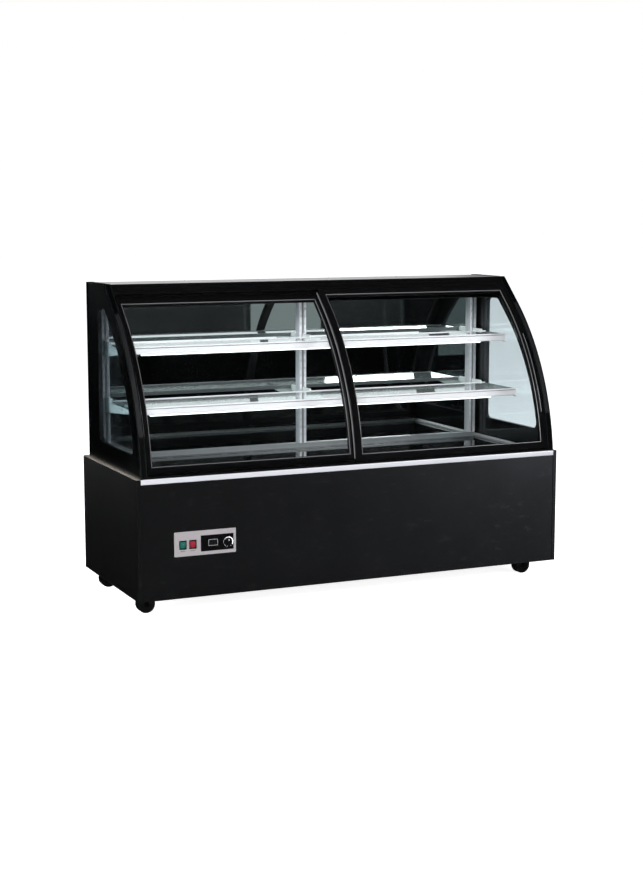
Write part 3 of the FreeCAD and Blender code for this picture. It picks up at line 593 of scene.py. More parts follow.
@dataclass
class Shop:
    """Makes pieces, gives them finishes and keeps a list of how each is lit.

    Attributes:
        sharp: The least angle between faces at an edge that is kept crisp.
        flat: The greatest angle between faces that count as one flat face.
        weld: The greatest distance between points that count as one.
        shown: The pieces of each lighting group.
        materials: The materials made so far, by name.
    """

    sharp: float = math.radians(28)
    flat: float = math.radians(0.4)
    weld: float = 0.01 * MM
    shown: dict[Lit, list[bpy.types.Object]] = field(default_factory=dict)
    materials: dict[str, bpy.types.Material] = field(default_factory=dict)

    def material(self, name: str, finish: Any) -> bpy.types.Material:
        """Makes a finish's material, once.

        Args:
            name: The material's name.
            finish: The finish.

        Returns:
            The material.
        """
        if name not in self.materials:
            self.materials[name] = finish.build(name)
        return self.materials[name]

    def slot_material(self, slot: Slot) -> bpy.types.Material:
        """Returns the material of a slot."""
        return self.material(slot.value, FINISHES[slot])

    @staticmethod
    def own_slot(piece: bpy.types.Object) -> Slot:
        """Returns the slot that a CAD node's material names."""
        return Slot(piece.data.materials[0].name.split(".")[0])

    def note(self, piece: bpy.types.Object, slot: Slot, lit: Lit | None = None) -> None:
        """Lists how a piece is lit and reports it."""
        self.shown.setdefault(lit or LIT_BY_SLOT.get(slot, Lit.PALE), []).append(piece)
        LOG.info("%s: %s", piece.name, slot.value)

    def dress(self, *nodes: str) -> None:
        """Gives CAD nodes the finish of their own slot.

        Args:
            nodes: Names of the nodes.
        """
        for node in nodes:
            piece = frame["nodes"][node]
            slot = self.own_slot(piece)
            piece.data.materials[0] = self.slot_material(slot)
            self.note(piece, slot)

    def piece(self, name: str, form: Form, slot: Slot, body: str, edge: float = 0.0,
              finish: tuple[str, Any] | None = None, stands_for: Sequence[str] = (),
              lit: Lit | None = None) -> bpy.types.Object:
        """Turns a form into a piece that rides on a body.

        Args:
            name: The piece's name.
            form: Its mesh.
            slot: The record's slot that it belongs to.
            body: The body that carries it.
            edge: The width of its rounded edges, or 0.
            finish: A name and a finish of its own, where the slot's doesn't fit.
            stands_for: CAD nodes that it replaces.
            lit: How it is lit, where its slot doesn't say.

        Returns:
            The piece.
        """
        bmesh.ops.recalc_face_normals(form.mesh, faces=form.mesh.faces)
        data = bpy.data.meshes.new(name)
        form.mesh.to_mesh(data)
        form.mesh.free()
        for polygon in data.polygons:
            polygon.use_smooth = True
        data.set_sharp_from_angle(angle=self.sharp)
        made = bpy.data.objects.new(name, data)
        bpy.context.scene.collection.objects.link(made)
        data.materials.append(self.material(*finish) if finish else self.slot_material(slot))
        if edge:
            rounding = made.modifiers.new("rounded_edges", "BEVEL")
            rounding.width = edge
            rounding.segments = 2
            rounding.limit_method = "ANGLE"
            rounding.angle_limit = self.sharp
            rounding.harden_normals = True
        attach(made, body)
        if stands_for:
            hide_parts(*stands_for)
        self.note(made, slot, lit)
        return made

    def refined(self, name: str, node: str, edge: float,
                second: tuple[str, Any, Callable[[Vector, Vector], bool]] | None = None) -> bpy.types.Object:
        """Makes a piece in the shape of a CAD node, with clean flat faces and rounded edges.

        Args:
            name: The piece's name.
            node: The CAD node that it replaces.
            edge: The width of its rounded edges.
            second: A name, a finish and a test on a face's centre and normal, for faces of another finish.

        Returns:
            The piece.
        """
        source = frame["nodes"][node]
        slot = self.own_slot(source)
        form = Form()
        form.mesh.from_mesh(source.data)
        bmesh.ops.remove_doubles(form.mesh, verts=form.mesh.verts, dist=self.weld)
        bmesh.ops.dissolve_limit(form.mesh, angle_limit=self.flat, verts=form.mesh.verts,
                                 edges=form.mesh.edges, delimit={"NORMAL"})
        if second:
            for face in form.mesh.faces:
                face.material_index = int(second[2](face.calc_center_median(), face.normal))
        made = self.piece(name, form, slot, source["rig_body"], edge, None, (node,))
        if second:
            made.data.materials.append(self.material(second[0], second[1]))
        return made


@dataclass(frozen=True)
class FrontCurve:
    """The curve of the glazed front, seen from the end: an arc that runs into a straight slope.

    Attributes:
        radius: Radius of the arc.
        centre: (y, z) of the arc's centre.
        foot: Height at which the curve starts.
        top: Height at which it ends.
        lean: The slope's angle from upright.
    """

    radius: float = 0.925
    centre: Pair = (0.583, 0.432)
    foot: float = 0.522
    top: float = 1.216
    lean: float = math.radians(47.1)

    @property
    def foot_angle(self) -> float:
        """Returns the angle at which the arc starts."""
        return math.asin((self.foot - self.centre[1]) / self.radius)

    @property
    def length(self) -> float:
        """Returns the length of the whole curve."""
        bend_z = self.centre[1] + self.radius * math.sin(self.lean)
        return self.radius * (self.lean - self.foot_angle) + (self.top - bend_z) / math.cos(self.lean)

    def point(self, along: float, inset: float) -> Pair:
        """Finds a point of the curve.

        Args:
            along: The distance along the curve from its foot.
            inset: The depth behind it.

        Returns:
            The point's y and z.
        """
        turned = self.foot_angle + along / self.radius
        angle = min(turned, self.lean)
        reach = self.radius - inset
        past = max(turned - self.lean, 0.0) * self.radius
        return (self.centre[0] - reach * math.cos(angle) + past * math.sin(angle),
                self.centre[1] + reach * math.sin(angle) + past * math.cos(angle))

    def station(self, z: float, inset: float) -> float:
        """Returns the distance along the curve at a height and depth."""
        return self.radius * (math.asin((z - self.centre[1]) / (self.radius - inset)) - self.foot_angle)

    def bar(self, form: Form, span: Pair, depth: Pair, across: Pair, rows: int = 48) -> None:
        """Adds a bar that follows the curve.

        Args:
            form: The form that it is added to.
            span: Where it starts and ends along the curve.
            depth: Its outer and inner depth behind the curve.
            across: Its two sides, in X.
            rows: How many steps it is made of.
        """
        left, right = across
        loops = []
        for row in range(rows + 1):
            along = span[0] + (span[1] - span[0]) * row / rows
            (y0, z0), (y1, z1) = self.point(along, depth[0]), self.point(along, depth[1])
            corners = ((left, y0, z0), (right, y0, z0), (right, y1, z1), (left, y1, z1))
            loops.append(form.loop(corners))
        form.skin(loops)


CURVE = FrontCurve()


@dataclass
class BaseCabinet:
    """Boards, strip, pan and frame of the lower cabinet.

    Attributes:
        shop: The shop that makes the pieces.
        board_edge: Rounding of the boards' edges.
        strip_edge: Rounding of the silver strip.
        raw_inset: How far the raw edge stays inside the board.
        raw_rise: How far it stands out of the board.
        raw_edge: Rounding of the raw edge.
    """

    shop: Shop
    board_edge: float = 0.7 * MM
    strip_edge: float = 0.9 * MM
    raw_inset: float = 1.0 * MM
    raw_rise: float = 0.25 * MM
    raw_edge: float = 0.15 * MM

    def build(self) -> None:
        """Makes the cabinet's boards and dresses the rest."""
        inset = self.raw_inset
        for side in ("left", "right"):
            self.shop.refined(f"side_board_{side}", f"side_panel_{side}", self.board_edge)
            low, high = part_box(f"side_panel_{side}")
            raw = Form()
            raw.slab((low.x + inset, low.y + inset, high.z - inset),
                     (high.x - inset, high.y - inset, high.z + self.raw_rise))
            self.shop.piece(f"raw_edge_{side}", raw, Slot.LAMINATE, "cabinet", self.raw_edge,
                            finish=("raw_board_edge", RAW_BOARD), lit=Lit.PALE)
        self.shop.refined("front_board", "front_panel", self.board_edge)
        self.shop.refined("front_strip", "trim_strip", self.strip_edge)
        self.shop.dress("floor_pan", "base_frame", "insulated_tub")


@dataclass
class ControlPanel:
    """The plate with two rocker keys and a thermostat.

    Attributes:
        shop: The shop that makes the pieces.
        edge: Rounding of the plate and the thermostat's face.
        print_height: How far printed marks stand out.
        dial: Inner radius, thin end and thick end of the scale's outer radius.
        dial_span: The scale's first and last angle, in degrees.
        ticks: Inner and outer radius of the scale's ticks.
        tick_half: Half a tick's width.
        tick_angles: Where the ticks stand, in degrees.
        window: The display window's outline, across and up.
        window_line: Width of that outline.
        figure: Width, height and bar width of a figure.
        figure_lefts: Left edge of each figure.
        figure_foot: Foot of the figures.
        figure_depth: How far the figures lie behind the face.
        pointer_half: Half the width of the knob's pointer.
        pointer_depth: Depth of the pointer's front and back in the knob.
        pointer_reach: Its inner and outer end, from the knob's middle.
        dashes: Ends of the dashes under a key, from its middle.
        dash_drop: Foot and top of the dashes, below the key.
    """

    shop: Shop
    edge: float = 0.4 * MM
    print_height: float = 0.12 * MM
    dial: Triple = (16.2 * MM, 17.0 * MM, 20.2 * MM)
    dial_span: Pair = (150.0, -35.0)
    ticks: Pair = (17.4 * MM, 20.2 * MM)
    tick_half: float = 0.4 * MM
    tick_angles: tuple[int, ...] = (-58, *range(162, 253, 18))
    window: tuple[Pair, Pair] = ((-623.9 * MM, -587.1 * MM), (256.1 * MM, 279.9 * MM))
    window_line: float = 1.1 * MM
    figure: Triple = (8.0 * MM, 14.0 * MM, 1.3 * MM)
    figure_lefts: Pair = (-616 * MM, -603 * MM)
    figure_foot: float = 261 * MM
    figure_depth: float = 0.5 * MM
    pointer_half: float = 0.8 * MM
    pointer_depth: Pair = (0.8 * MM, 1.2 * MM)
    pointer_reach: Pair = (4.0 * MM, 11.8 * MM)
    dashes: tuple[Pair, ...] = ((-9 * MM, -3 * MM), (-2 * MM, 3 * MM), (4 * MM, 9 * MM))
    dash_drop: Pair = (11 * MM, 9 * MM)

    def _dial_marks(self, x: float, y: float, z: float) -> Form:
        """Makes the thermostat's scale.

        Args:
            x: The dial's centre, across.
            y: The face that it is printed on.
            z: The dial's centre, up.

        Returns:
            A wedge round the knob, with ticks outside it.
        """
        form = Form()
        steps = 40
        (inner, thin, thick), (first, last) = self.dial, self.dial_span
        loops = []
        for step in range(steps + 1):
            angle = math.radians(first + (last - first) * step / steps)
            outer = thin + (thick - thin) * step / steps
            corners = ((inner, 0), (outer, 0), (outer, -self.print_height), (inner, -self.print_height))
            loops.append(form.loop(
                (x + r * math.cos(angle), y + d, z + r * math.sin(angle)) for r, d in corners))
        form.skin(loops)
        foot = Vector((x, y, z))
        near, far = self.ticks
        for tick in self.tick_angles:
            angle = math.radians(tick)
            along = Vector((math.cos(angle), 0, math.sin(angle)))
            side = Vector((-math.sin(angle), 0, math.cos(angle))) * self.tick_half
            flat = [foot + along * r + side * s for r, s in ((near, -1), (far, -1), (far, 1), (near, 1))]
            raised = [point - Vector((0, self.print_height, 0)) for point in flat]
            form.skin([form.loop(flat), form.loop(raised)])
        return form

    def _window(self, y: float) -> Form:
        """Makes the printed outline of the display window.

        Args:
            y: The face that it is printed on.

        Returns:
            A frame of four bars.
        """
        form = Form()
        ((x0, x1), (z0, z1)), line = self.window, self.window_line
        front = y - self.print_height
        form.slab((x0, front, z0), (x1, y, z0 + line))
        form.slab((x0, front, z1 - line), (x1, y, z1))
        form.slab((x0, front, z0 + line), (x0 + line, y, z1 - line))
        form.slab((x1 - line, front, z0 + line), (x1, y, z1 - line))
        return form

    def _figures(self, y: float) -> Form:
        """Makes the unlit bars of two seven-bar figures behind the window.

        Args:
            y: The depth at which they lie.

        Returns:
            Their bars.
        """
        form = Form()
        (wide, tall, bar), foot = self.figure, self.figure_foot
        for left in self.figure_lefts:
            for level in (0.0, 0.5, 1.0):
                z = foot + level * (tall - bar)
                form.slab((left + bar, y, z), (left + wide - bar, y + bar / 4, z + bar))
            for x in (left, left + wide - bar):
                for level in (0.0, 0.5):
                    z = foot + bar + level * (tall - bar)
                    form.slab((x, y, z), (x + bar, y + bar / 4, z + tall / 2 - 1.9 * bar))
        return form

    def _print(self, name: str, form: Form, slot: Slot, body: str, finish: tuple[str, Any]) -> None:
        """Makes a printed mark, lit like the pale pieces."""
        self.shop.piece(name, form, slot, body, finish=finish, lit=Lit.PALE)

    def build(self) -> None:
        """Makes the plate and its marks, and dresses the switches."""
        shop = self.shop
        shop.refined("brushed_plate", "control_plate", self.edge)
        shop.refined("thermostat_face", "thermostat_housing", self.edge)
        shop.dress("switch_bodies", "power_rocker", "light_rocker", "thermostat_knob")
        low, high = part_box("thermostat_knob")
        x, z = (low.x + high.x) / 2, (low.z + high.z) / 2
        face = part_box("thermostat_housing")[0].y
        white, dark = ("print_white", PRINT_WHITE), ("print_dark", PRINT_DARK)
        self._print("dial_scale", self._dial_marks(x, face, z), Slot.PLASTIC, "cabinet", white)
        self._print("window_outline", self._window(face), Slot.PLASTIC, "cabinet", ("print_grey", PRINT_GREY))
        figures = self._figures(face + self.figure_depth)
        shop.piece("display_figures", figures, Slot.PLASTIC, "cabinet", finish=dark)
        pointer = Form()
        (front, back), (near, far) = self.pointer_depth, self.pointer_reach
        pointer.slab((x - self.pointer_half, low.y + front, z + near),
                     (x + self.pointer_half, low.y + back, z + far))
        self._print("knob_pointer", pointer, Slot.PLASTIC, "thermostat_knob", white)
        dashes = Form()
        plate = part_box("control_plate")[0].y
        for key in ("power_rocker", "light_rocker"):
            low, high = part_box(key)
            middle = (low.x + high.x) / 2
            foot, top = low.z - self.dash_drop[0], low.z - self.dash_drop[1]
            for start, end in self.dashes:
                dashes.slab((middle + start, plate - self.print_height, foot), (middle + end, plate, top))
        shop.piece("key_dashes", dashes, Slot.PLATE, "cabinet", finish=dark)


@dataclass
class CoolingUnit:
    """Condenser, compressor, evaporator, pipes and what goes with them.

    Attributes:
        shop: The shop that makes the pieces.
    """

    shop: Shop

    def build(self) -> None:
        """Dresses the machinery."""
        self.shop.dress(
            "evaporator_coil", "evaporator_fan_plate", "evaporator_fan_left", "evaporator_fan_right",
            "condenser_coil", "condenser_fan_shroud", "condenser_fan_motor", "condenser_fan_blades",
            "compressor", "refrigerant_pipes", "electrical_box", "power_inlet", "drain_pan")


@dataclass
class RearCover:
    """The removable cover at the back, with slanted blades in its air slots.

    Attributes:
        shop: The shop that makes the pieces.
        edge: Rounding of the cover and, a little less, of the blades.
        columns: Middles of the slots' columns.
        rows: Lowest slot, highest slot and how many.
        half_slot: Half the length of a slot.
        blade_gap: Gap at each end of a blade.
        blade: Section of a blade, from the cover's face and the slot's foot.
    """

    shop: Shop
    edge: Pair = (0.3 * MM, 0.2 * MM)
    columns: tuple[float, ...] = (-640 * MM, -420 * MM, 420 * MM, 640 * MM)
    rows: tuple[float, float, int] = (130 * MM, 290 * MM, 9)
    half_slot: float = 80 * MM
    blade_gap: float = 0.2 * MM
    blade: tuple[Pair, ...] = (
        (-0.4 * MM, 8.0 * MM), (-1.4 * MM, 8.6 * MM), (-9.0 * MM, 1.0 * MM), (-8.4 * MM, 0.0))

    def build(self) -> None:
        """Makes the cover and its blades."""
        self.shop.refined("back_cover", "rear_panel", self.edge[0])
        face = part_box("rear_panel")[1].y
        half = self.half_slot - self.blade_gap
        first, last, count = self.rows
        form = Form()
        for x in self.columns:
            for row in range(count):
                foot = first + (last - first) * row / (count - 1)
                form.prism([(face + y, foot + z) for y, z in self.blade], x - half, x + half)
        self.shop.piece("louvre_blades", form, Slot.REAR, "cabinet", self.edge[1])


@dataclass
class GlazedEnds:
    """The two glazed ends: double panes with a black printed border and a spacer round the window.

    Attributes:
        shop: The shop that makes the pieces.
        window_depths: Front and back between which the window's faces lie.
        window_heights: Foot and top between which they lie.
    """

    shop: Shop
    window_depths: Pair = (-310 * MM, 178.5 * MM)
    window_heights: Pair = (599.5 * MM, 1122.5 * MM)

    def _in_window(self, centre: Vector, normal: Vector) -> bool:
        """Tells whether a face of the border looks into the window.

        Args:
            centre: The face's middle.
            normal: The direction that it looks in.

        Returns:
            Whether it does.
        """
        if abs(normal.x) > 0.5:
            return False
        (front, back), (foot, top) = self.window_depths, self.window_heights
        return foot < centre.z < top and front < centre.y < back

    def build(self) -> None:
        """Makes the panes and borders of both ends."""
        edge = ("end_glass_edge", END_EDGE, lambda centre, normal: abs(normal.x) < 0.5)
        spacer = ("window_spacer", SPACER, self._in_window)
        for side in ("left", "right"):
            self.shop.refined(f"{side}_end_panes", f"{side}_end_glass", 0.0, edge)
            self.shop.refined(f"{side}_end_band", f"{side}_end_border", 0.0, spacer)


@dataclass
class RoofAndBack:
    """Steel roof, black beam and track, mirror and insulated back.

    Attributes:
        shop: The shop that makes the pieces.
        screw_count: How many screws hold each edge.
        screw_ends: How far the outer screws stay from the ends.
        screw_edge: How far the roof's screws stay from its rear edge.
        rear_screws: Heights of the two rows of screws in the back.
    """

    shop: Shop
    screw_count: int = 6
    screw_ends: float = 60 * MM
    screw_edge: float = 18 * MM
    rear_screws: Pair = (1160 * MM, 560 * MM)

    def build(self) -> None:
        """Makes the roof, beam and track, and their screws."""
        shop = self.shop
        shop.refined("steel_roof", "top_panel", 0.8 * MM)
        shop.refined("ribbed_beam", "top_beam", 0.5 * MM)
        shop.refined("door_track", "bottom_track", 0.4 * MM)
        shop.dress("mirror")
        shop.refined("back_board", "back_wall", 1.0 * MM)
        low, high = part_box("top_panel")
        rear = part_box("back_wall")[1].y
        pitch = (high.x - low.x - 2 * self.screw_ends) / (self.screw_count - 1)
        screws = Form()
        for step in range(self.screw_count):
            x = low.x + self.screw_ends + pitch * step
            screws.screw((x, high.y - self.screw_edge, high.z), (0, 0, 1))
            for z in self.rear_screws:
                screws.screw((x, rear, z), (0, 1, 0))
        shop.piece("roof_screws", screws, Slot.STAINLESS, "cabinet", finish=("zinc_screw", ZINC_SCREW))


@dataclass
class Deck:
    """The glossy deck and its trims.

    Attributes:
        shop: The shop that makes the pieces.
    """

    shop: Shop

    def build(self) -> None:
        """Makes the deck and its trims."""
        self.shop.refined("deck_sheet", "deck", 0.8 * MM)
        self.shop.refined("deck_edges", "deck_trims", 0.6 * MM)


class Track(Enum):
    """The two tracks that a door can run in."""

    OUTER = "outer"
    INNER = "inner"


@dataclass
class SlidingDoor:
    """One curved sliding door: mitred frame, bent glass, gasket, bright bead that is partly a painted
    highlight, and finger pull, with painted highlight lines at the pull and the meeting edge.

    Attributes:
        shop: The shop that makes the pieces.
        track: The track that it runs in.
        face: Depth of the door's face behind the curve.
        foot: Height of the frame's lower edge.
        top_gap: How far the frame stays from the top of the curve.
        thickness: Depth of the frame.
        member: Width of a frame member.
        bite: How far the glass goes into the frame.
        glass: Thickness of the glass.
        bead: Width of the bright bead, which is partly a painted highlight along the opening.
        bead_depth: How far the bead lies behind the face.
        gasket: Width of the rubber gasket.
        gasket_depths: How far the gaskets lie behind the face and before the back.
        pull_span: Where the painted highlight line on the pull starts and ends along the curve.
        pull_depth: How far that line stands out of the face, at most and at least.
        pull_line: How far the line lies outside and inside the pull's side.
        meeting_highlight_ends: How far the painted highlight strip at the meeting stays from the frame's
            lower and upper end.
        meeting_highlight_depth: Its two depths behind the face.
        meeting_highlight_line: How far it lies outside and inside the frame's side.
        brush_ends: How far the meeting brush stays from both ends.
        brush_depth: How far it lies inside and behind the frame.
        brush_line: Its two distances from the frame's side.
    """

    shop: Shop
    track: Track
    face: float
    foot: float = 531 * MM
    top_gap: float = 51 * MM
    thickness: float = 18 * MM
    member: float = 27 * MM
    bite: float = 8 * MM
    glass: float = 5 * MM
    bead: float = 1.3 * MM
    bead_depth: float = 0.8 * MM
    gasket: float = 2.4 * MM
    gasket_depths: Pair = (3.4 * MM, 2.0 * MM)
    pull_span: Pair = (162 * MM, 508 * MM)
    pull_depth: Pair = (4.2 * MM, 1.2 * MM)
    pull_line: Pair = (0.5 * MM, 0.1 * MM)
    meeting_highlight_ends: Pair = (12 * MM, 6 * MM)
    meeting_highlight_depth: Pair = (9 * MM, 16 * MM)
    meeting_highlight_line: Pair = (0.7 * MM, 0.1 * MM)
    brush_ends: float = 12 * MM
    brush_depth: Pair = (0.2 * MM, 2.4 * MM)
    brush_line: Pair = (3 * MM, 7 * MM)

    @property
    def body(self) -> str:
        """Returns the body that the door is."""
        return f"{self.track.value}_door"

    @staticmethod
    def _round_opening(form: Form, span: Pair, across: Pair, width: float, depth: Pair) -> None:
        """Adds a narrow band round the inside of an opening.

        Args:
            form: The form that it is added to.
            span: Where the opening starts and ends along the curve.
            across: The opening's two sides.
            width: The band's width.
            depth: The band's outer and inner depth.
        """
        (low, high), (left, right) = span, across
        CURVE.bar(form, (low, high), depth, (left, left + width))
        CURVE.bar(form, (low, high), depth, (right - width, right))
        CURVE.bar(form, (low, low + width), depth, (left + width, right - width), 1)
        CURVE.bar(form, (high - width, high), depth, (left + width, right - width), 1)

    def _bead_and_highlight_line(self, name: str, form: Form) -> None:
        """Makes a bright line on the door; it serves the glazing bead, partly a painted highlight, and the
        painted highlight lines of the pull and the meeting edge.
        """
        self.shop.piece(name, form, Slot.FRAME, self.body, finish=("bright_bead", BEAD_AND_PAINTED_HIGHLIGHT), lit=Lit.PALE)

    def _rubber(self, name: str, form: Form) -> None:
        """Makes a rubber piece of the door."""
        self.shop.piece(name, form, Slot.FRAME, self.body, finish=("rubber", RUBBER))

    def _glazing(self, opening: Pair, across: Pair) -> None:
        """Makes the bent glass, its bead and its gaskets.

        Args:
            opening: Where the frame's opening starts and ends along the curve.
            across: The opening's two sides.
        """
        (low, high), (left, right), bite = opening, across, self.bite
        pane = self.face + (self.thickness - self.glass) / 2
        glass = Form()
        CURVE.bar(glass, (low - bite, high + bite), (pane, pane + self.glass),
                  (left - bite, right + bite), 96)
        self.shop.piece(f"{self.body}_bent_glass", glass, Slot.DOOR_GLASS, self.body,
                        stands_for=(f"{self.body}_glass",))
        # The bright bead round the opening is partly a painted highlight line.
        bead = Form()
        self._round_opening(bead, opening, across, self.bead, (self.face + self.bead_depth, pane))
        self._bead_and_highlight_line(f"{self.body}_bead", bead)
        before, behind = self.gasket_depths
        rubber = Form()
        self._round_opening(rubber, (low + self.bead, high - self.bead),
                            (left + self.bead, right - self.bead), self.gasket, (self.face + before, pane))
        self._round_opening(rubber, opening, across, self.gasket + self.bead,
                            (pane + self.glass, self.face + self.thickness - behind))
        self._rubber(f"{self.body}_gasket", rubber)

    def _pull(self) -> None:
        """Makes the finger pull and a painted highlight line along its side."""
        self.shop.refined(f"{self.body}_finger_pull", f"{self.body}_pull", 1.2 * MM)
        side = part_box(f"{self.body}_pull")[0].x
        # A thin light grey bar at the pull's side is a painted highlight on its edge.
        line = Form()
        CURVE.bar(line, self.pull_span, (self.face - self.pull_depth[0], self.face - self.pull_depth[1]),
                  (side - self.pull_line[0], side + self.pull_line[1]))
        self._bead_and_highlight_line(f"{self.body}_pull_painted_highlight", line)

    def _meeting(self, start: float, end: float, side: float) -> None:
        """Makes a painted highlight strip and the brush where the doors meet.

        Args:
            start: Where the frame starts along the curve.
            end: Where it ends.
            side: The frame's side at the meeting.
        """
        # A thin light grey strip at the meeting side is a painted highlight on the outer door's edge.
        strip = Form()
        CURVE.bar(strip, (start + self.meeting_highlight_ends[0], end - self.meeting_highlight_ends[1]),
                  (self.face + self.meeting_highlight_depth[0], self.face + self.meeting_highlight_depth[1]),
                  (side - self.meeting_highlight_line[0], side + self.meeting_highlight_line[1]))
        self._bead_and_highlight_line("meeting_painted_highlight", strip)
        back = self.face + self.thickness
        brush = Form()
        CURVE.bar(brush, (start + self.brush_ends, end - self.brush_ends),
                  (back - self.brush_depth[0], back + self.brush_depth[1]),
                  (side + self.brush_line[0], side + self.brush_line[1]))
        self._rubber("meeting_brush", brush)

    def build(self) -> None:
        """Makes the door's pieces."""
        low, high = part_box(f"{self.body}_frame")
        start = CURVE.station(self.foot, self.face + self.thickness)
        end = CURVE.length - self.top_gap
        self.shop.refined(f"{self.body}_members", f"{self.body}_frame", 0.7 * MM)
        self._glazing((start + self.member, end - self.member), (low.x + self.member, high.x - self.member))
        self._pull()
        if self.track is Track.OUTER:
            self._meeting(start, end, low.x)


@dataclass
class Shelves:
    """Two glass shelves with white rails, light bars, brackets and slotted standards.

    Attributes:
        shop: The shop that makes the pieces.
        places: Front of the rail and top of the glass, for each shelf.
        half_length: Half the length of a rail with its caps.
        cap: Length of an end cap.
        standards: Middle of each slotted standard.
        groove: Half the width and the two depths of the painted shade in a standard's groove.
        rail_profile: Section of a rail, in millimetres from its front and top.
        cap_profile: Section of an end cap, likewise.
        groove_shade_profile: Section of the dark grey fill in a rail's groove, a painted shade, likewise.
    """

    shop: Shop
    places: tuple[Pair, Pair] = ((-120 * MM, 757 * MM), (-26 * MM, 979 * MM))
    half_length: float = 838 * MM
    cap: float = 6 * MM
    standards: Triple = (-831 * MM, 20 * MM, 831 * MM)
    groove: Triple = (4.6 * MM, 3.2 * MM, 4.2 * MM)
    rail_profile: tuple[Pair, ...] = (
        (0.0, 1.6), (0.4, 2.0), (3.6, 2.0), (4.0, 1.6), (4.0, -6.0), (16.0, -6.0), (16.0, -11.0),
        (5.0, -11.0), (5.0, -28.0), (3.0, -28.0), (0.0, -26.0), (0.0, -6.6), (2.2, -6.6), (2.2, -3.6),
        (0.0, -3.6))
    cap_profile: tuple[Pair, ...] = (
        (-0.5, 1.5), (1.0, 3.0), (4.9, 3.0), (4.9, -6.0), (16.0, -6.0), (16.0, -34.0), (1.0, -34.0),
        (-0.5, -32.5))
    groove_shade_profile: tuple[Pair, ...] = ((2.3, -6.5), (2.3, -3.7), (0.9, -4.2), (0.6, -5.1), (0.9, -6.0))

    @staticmethod
    def _laid(profile: Sequence[Pair], place: Pair) -> list[Pair]:
        """Returns a profile, given in millimetres, in its place."""
        return [(place[0] + y * MM, place[1] + z * MM) for y, z in profile]

    def _rails(self) -> Form:
        """Makes the grooved rails with their caps.

        Returns:
            Both rails.
        """
        form = Form()
        end = self.half_length - self.cap
        for place in self.places:
            form.prism(self._laid(self.rail_profile, place), -end, end)
            form.prism(self._laid(self.cap_profile, place), end, self.half_length)
            form.prism(self._laid(self.cap_profile, place), -self.half_length, -end)
        return form

    def _groove_shades(self) -> Form:
        """Makes the dark fills in the rails' grooves, a painted shade.

        Returns:
            Both fills.
        """
        form = Form()
        end = self.half_length - self.cap
        for place in self.places:
            form.prism(self._laid(self.groove_shade_profile, place), -end, end)
        return form

    def _grooves(self) -> Form:
        """Makes dark slabs in the standards' grooves, a painted shade.

        Returns:
            One slab for each standard.
        """
        form = Form()
        low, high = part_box("shelf_standards")
        half, front, back = self.groove
        for middle in self.standards:
            form.slab((middle - half, low.y + front, low.z + MM), (middle + half, low.y + back, high.z - MM))
        return form

    def build(self) -> None:
        """Makes both shelves and what carries them."""
        shop = self.shop
        edge = ("polished_edge", GLASS_EDGE, lambda centre, normal: abs(normal.z) < 0.5)
        shop.refined("lower_glass_shelf", "lower_shelf_glass", 0.5 * MM, edge)
        shop.refined("upper_glass_shelf", "upper_shelf_glass", 0.5 * MM, edge)
        shop.piece("white_rails", self._rails(), Slot.RAIL, "cabinet", 0.25 * MM, stands_for=("shelf_rails",))
        # The rail and standard groove fills are painted shade.
        shop.piece("rail_groove_shades", self._groove_shades(), Slot.RAIL, "cabinet", finish=("rail_groove_shade", GROOVE_PAINTED_SHADE))
        shop.piece("standard_grooves", self._grooves(), Slot.STANDARD, "cabinet",
                   finish=("groove_shade", GROOVE_PAINTED_SHADE))
        shop.refined("rear_bars", "shelf_rear_bars", 0.4 * MM)
        shop.refined("bracket_arms", "shelf_brackets", 0.7 * MM)
        shop.dress("shelf_lamps", "shelf_standards")


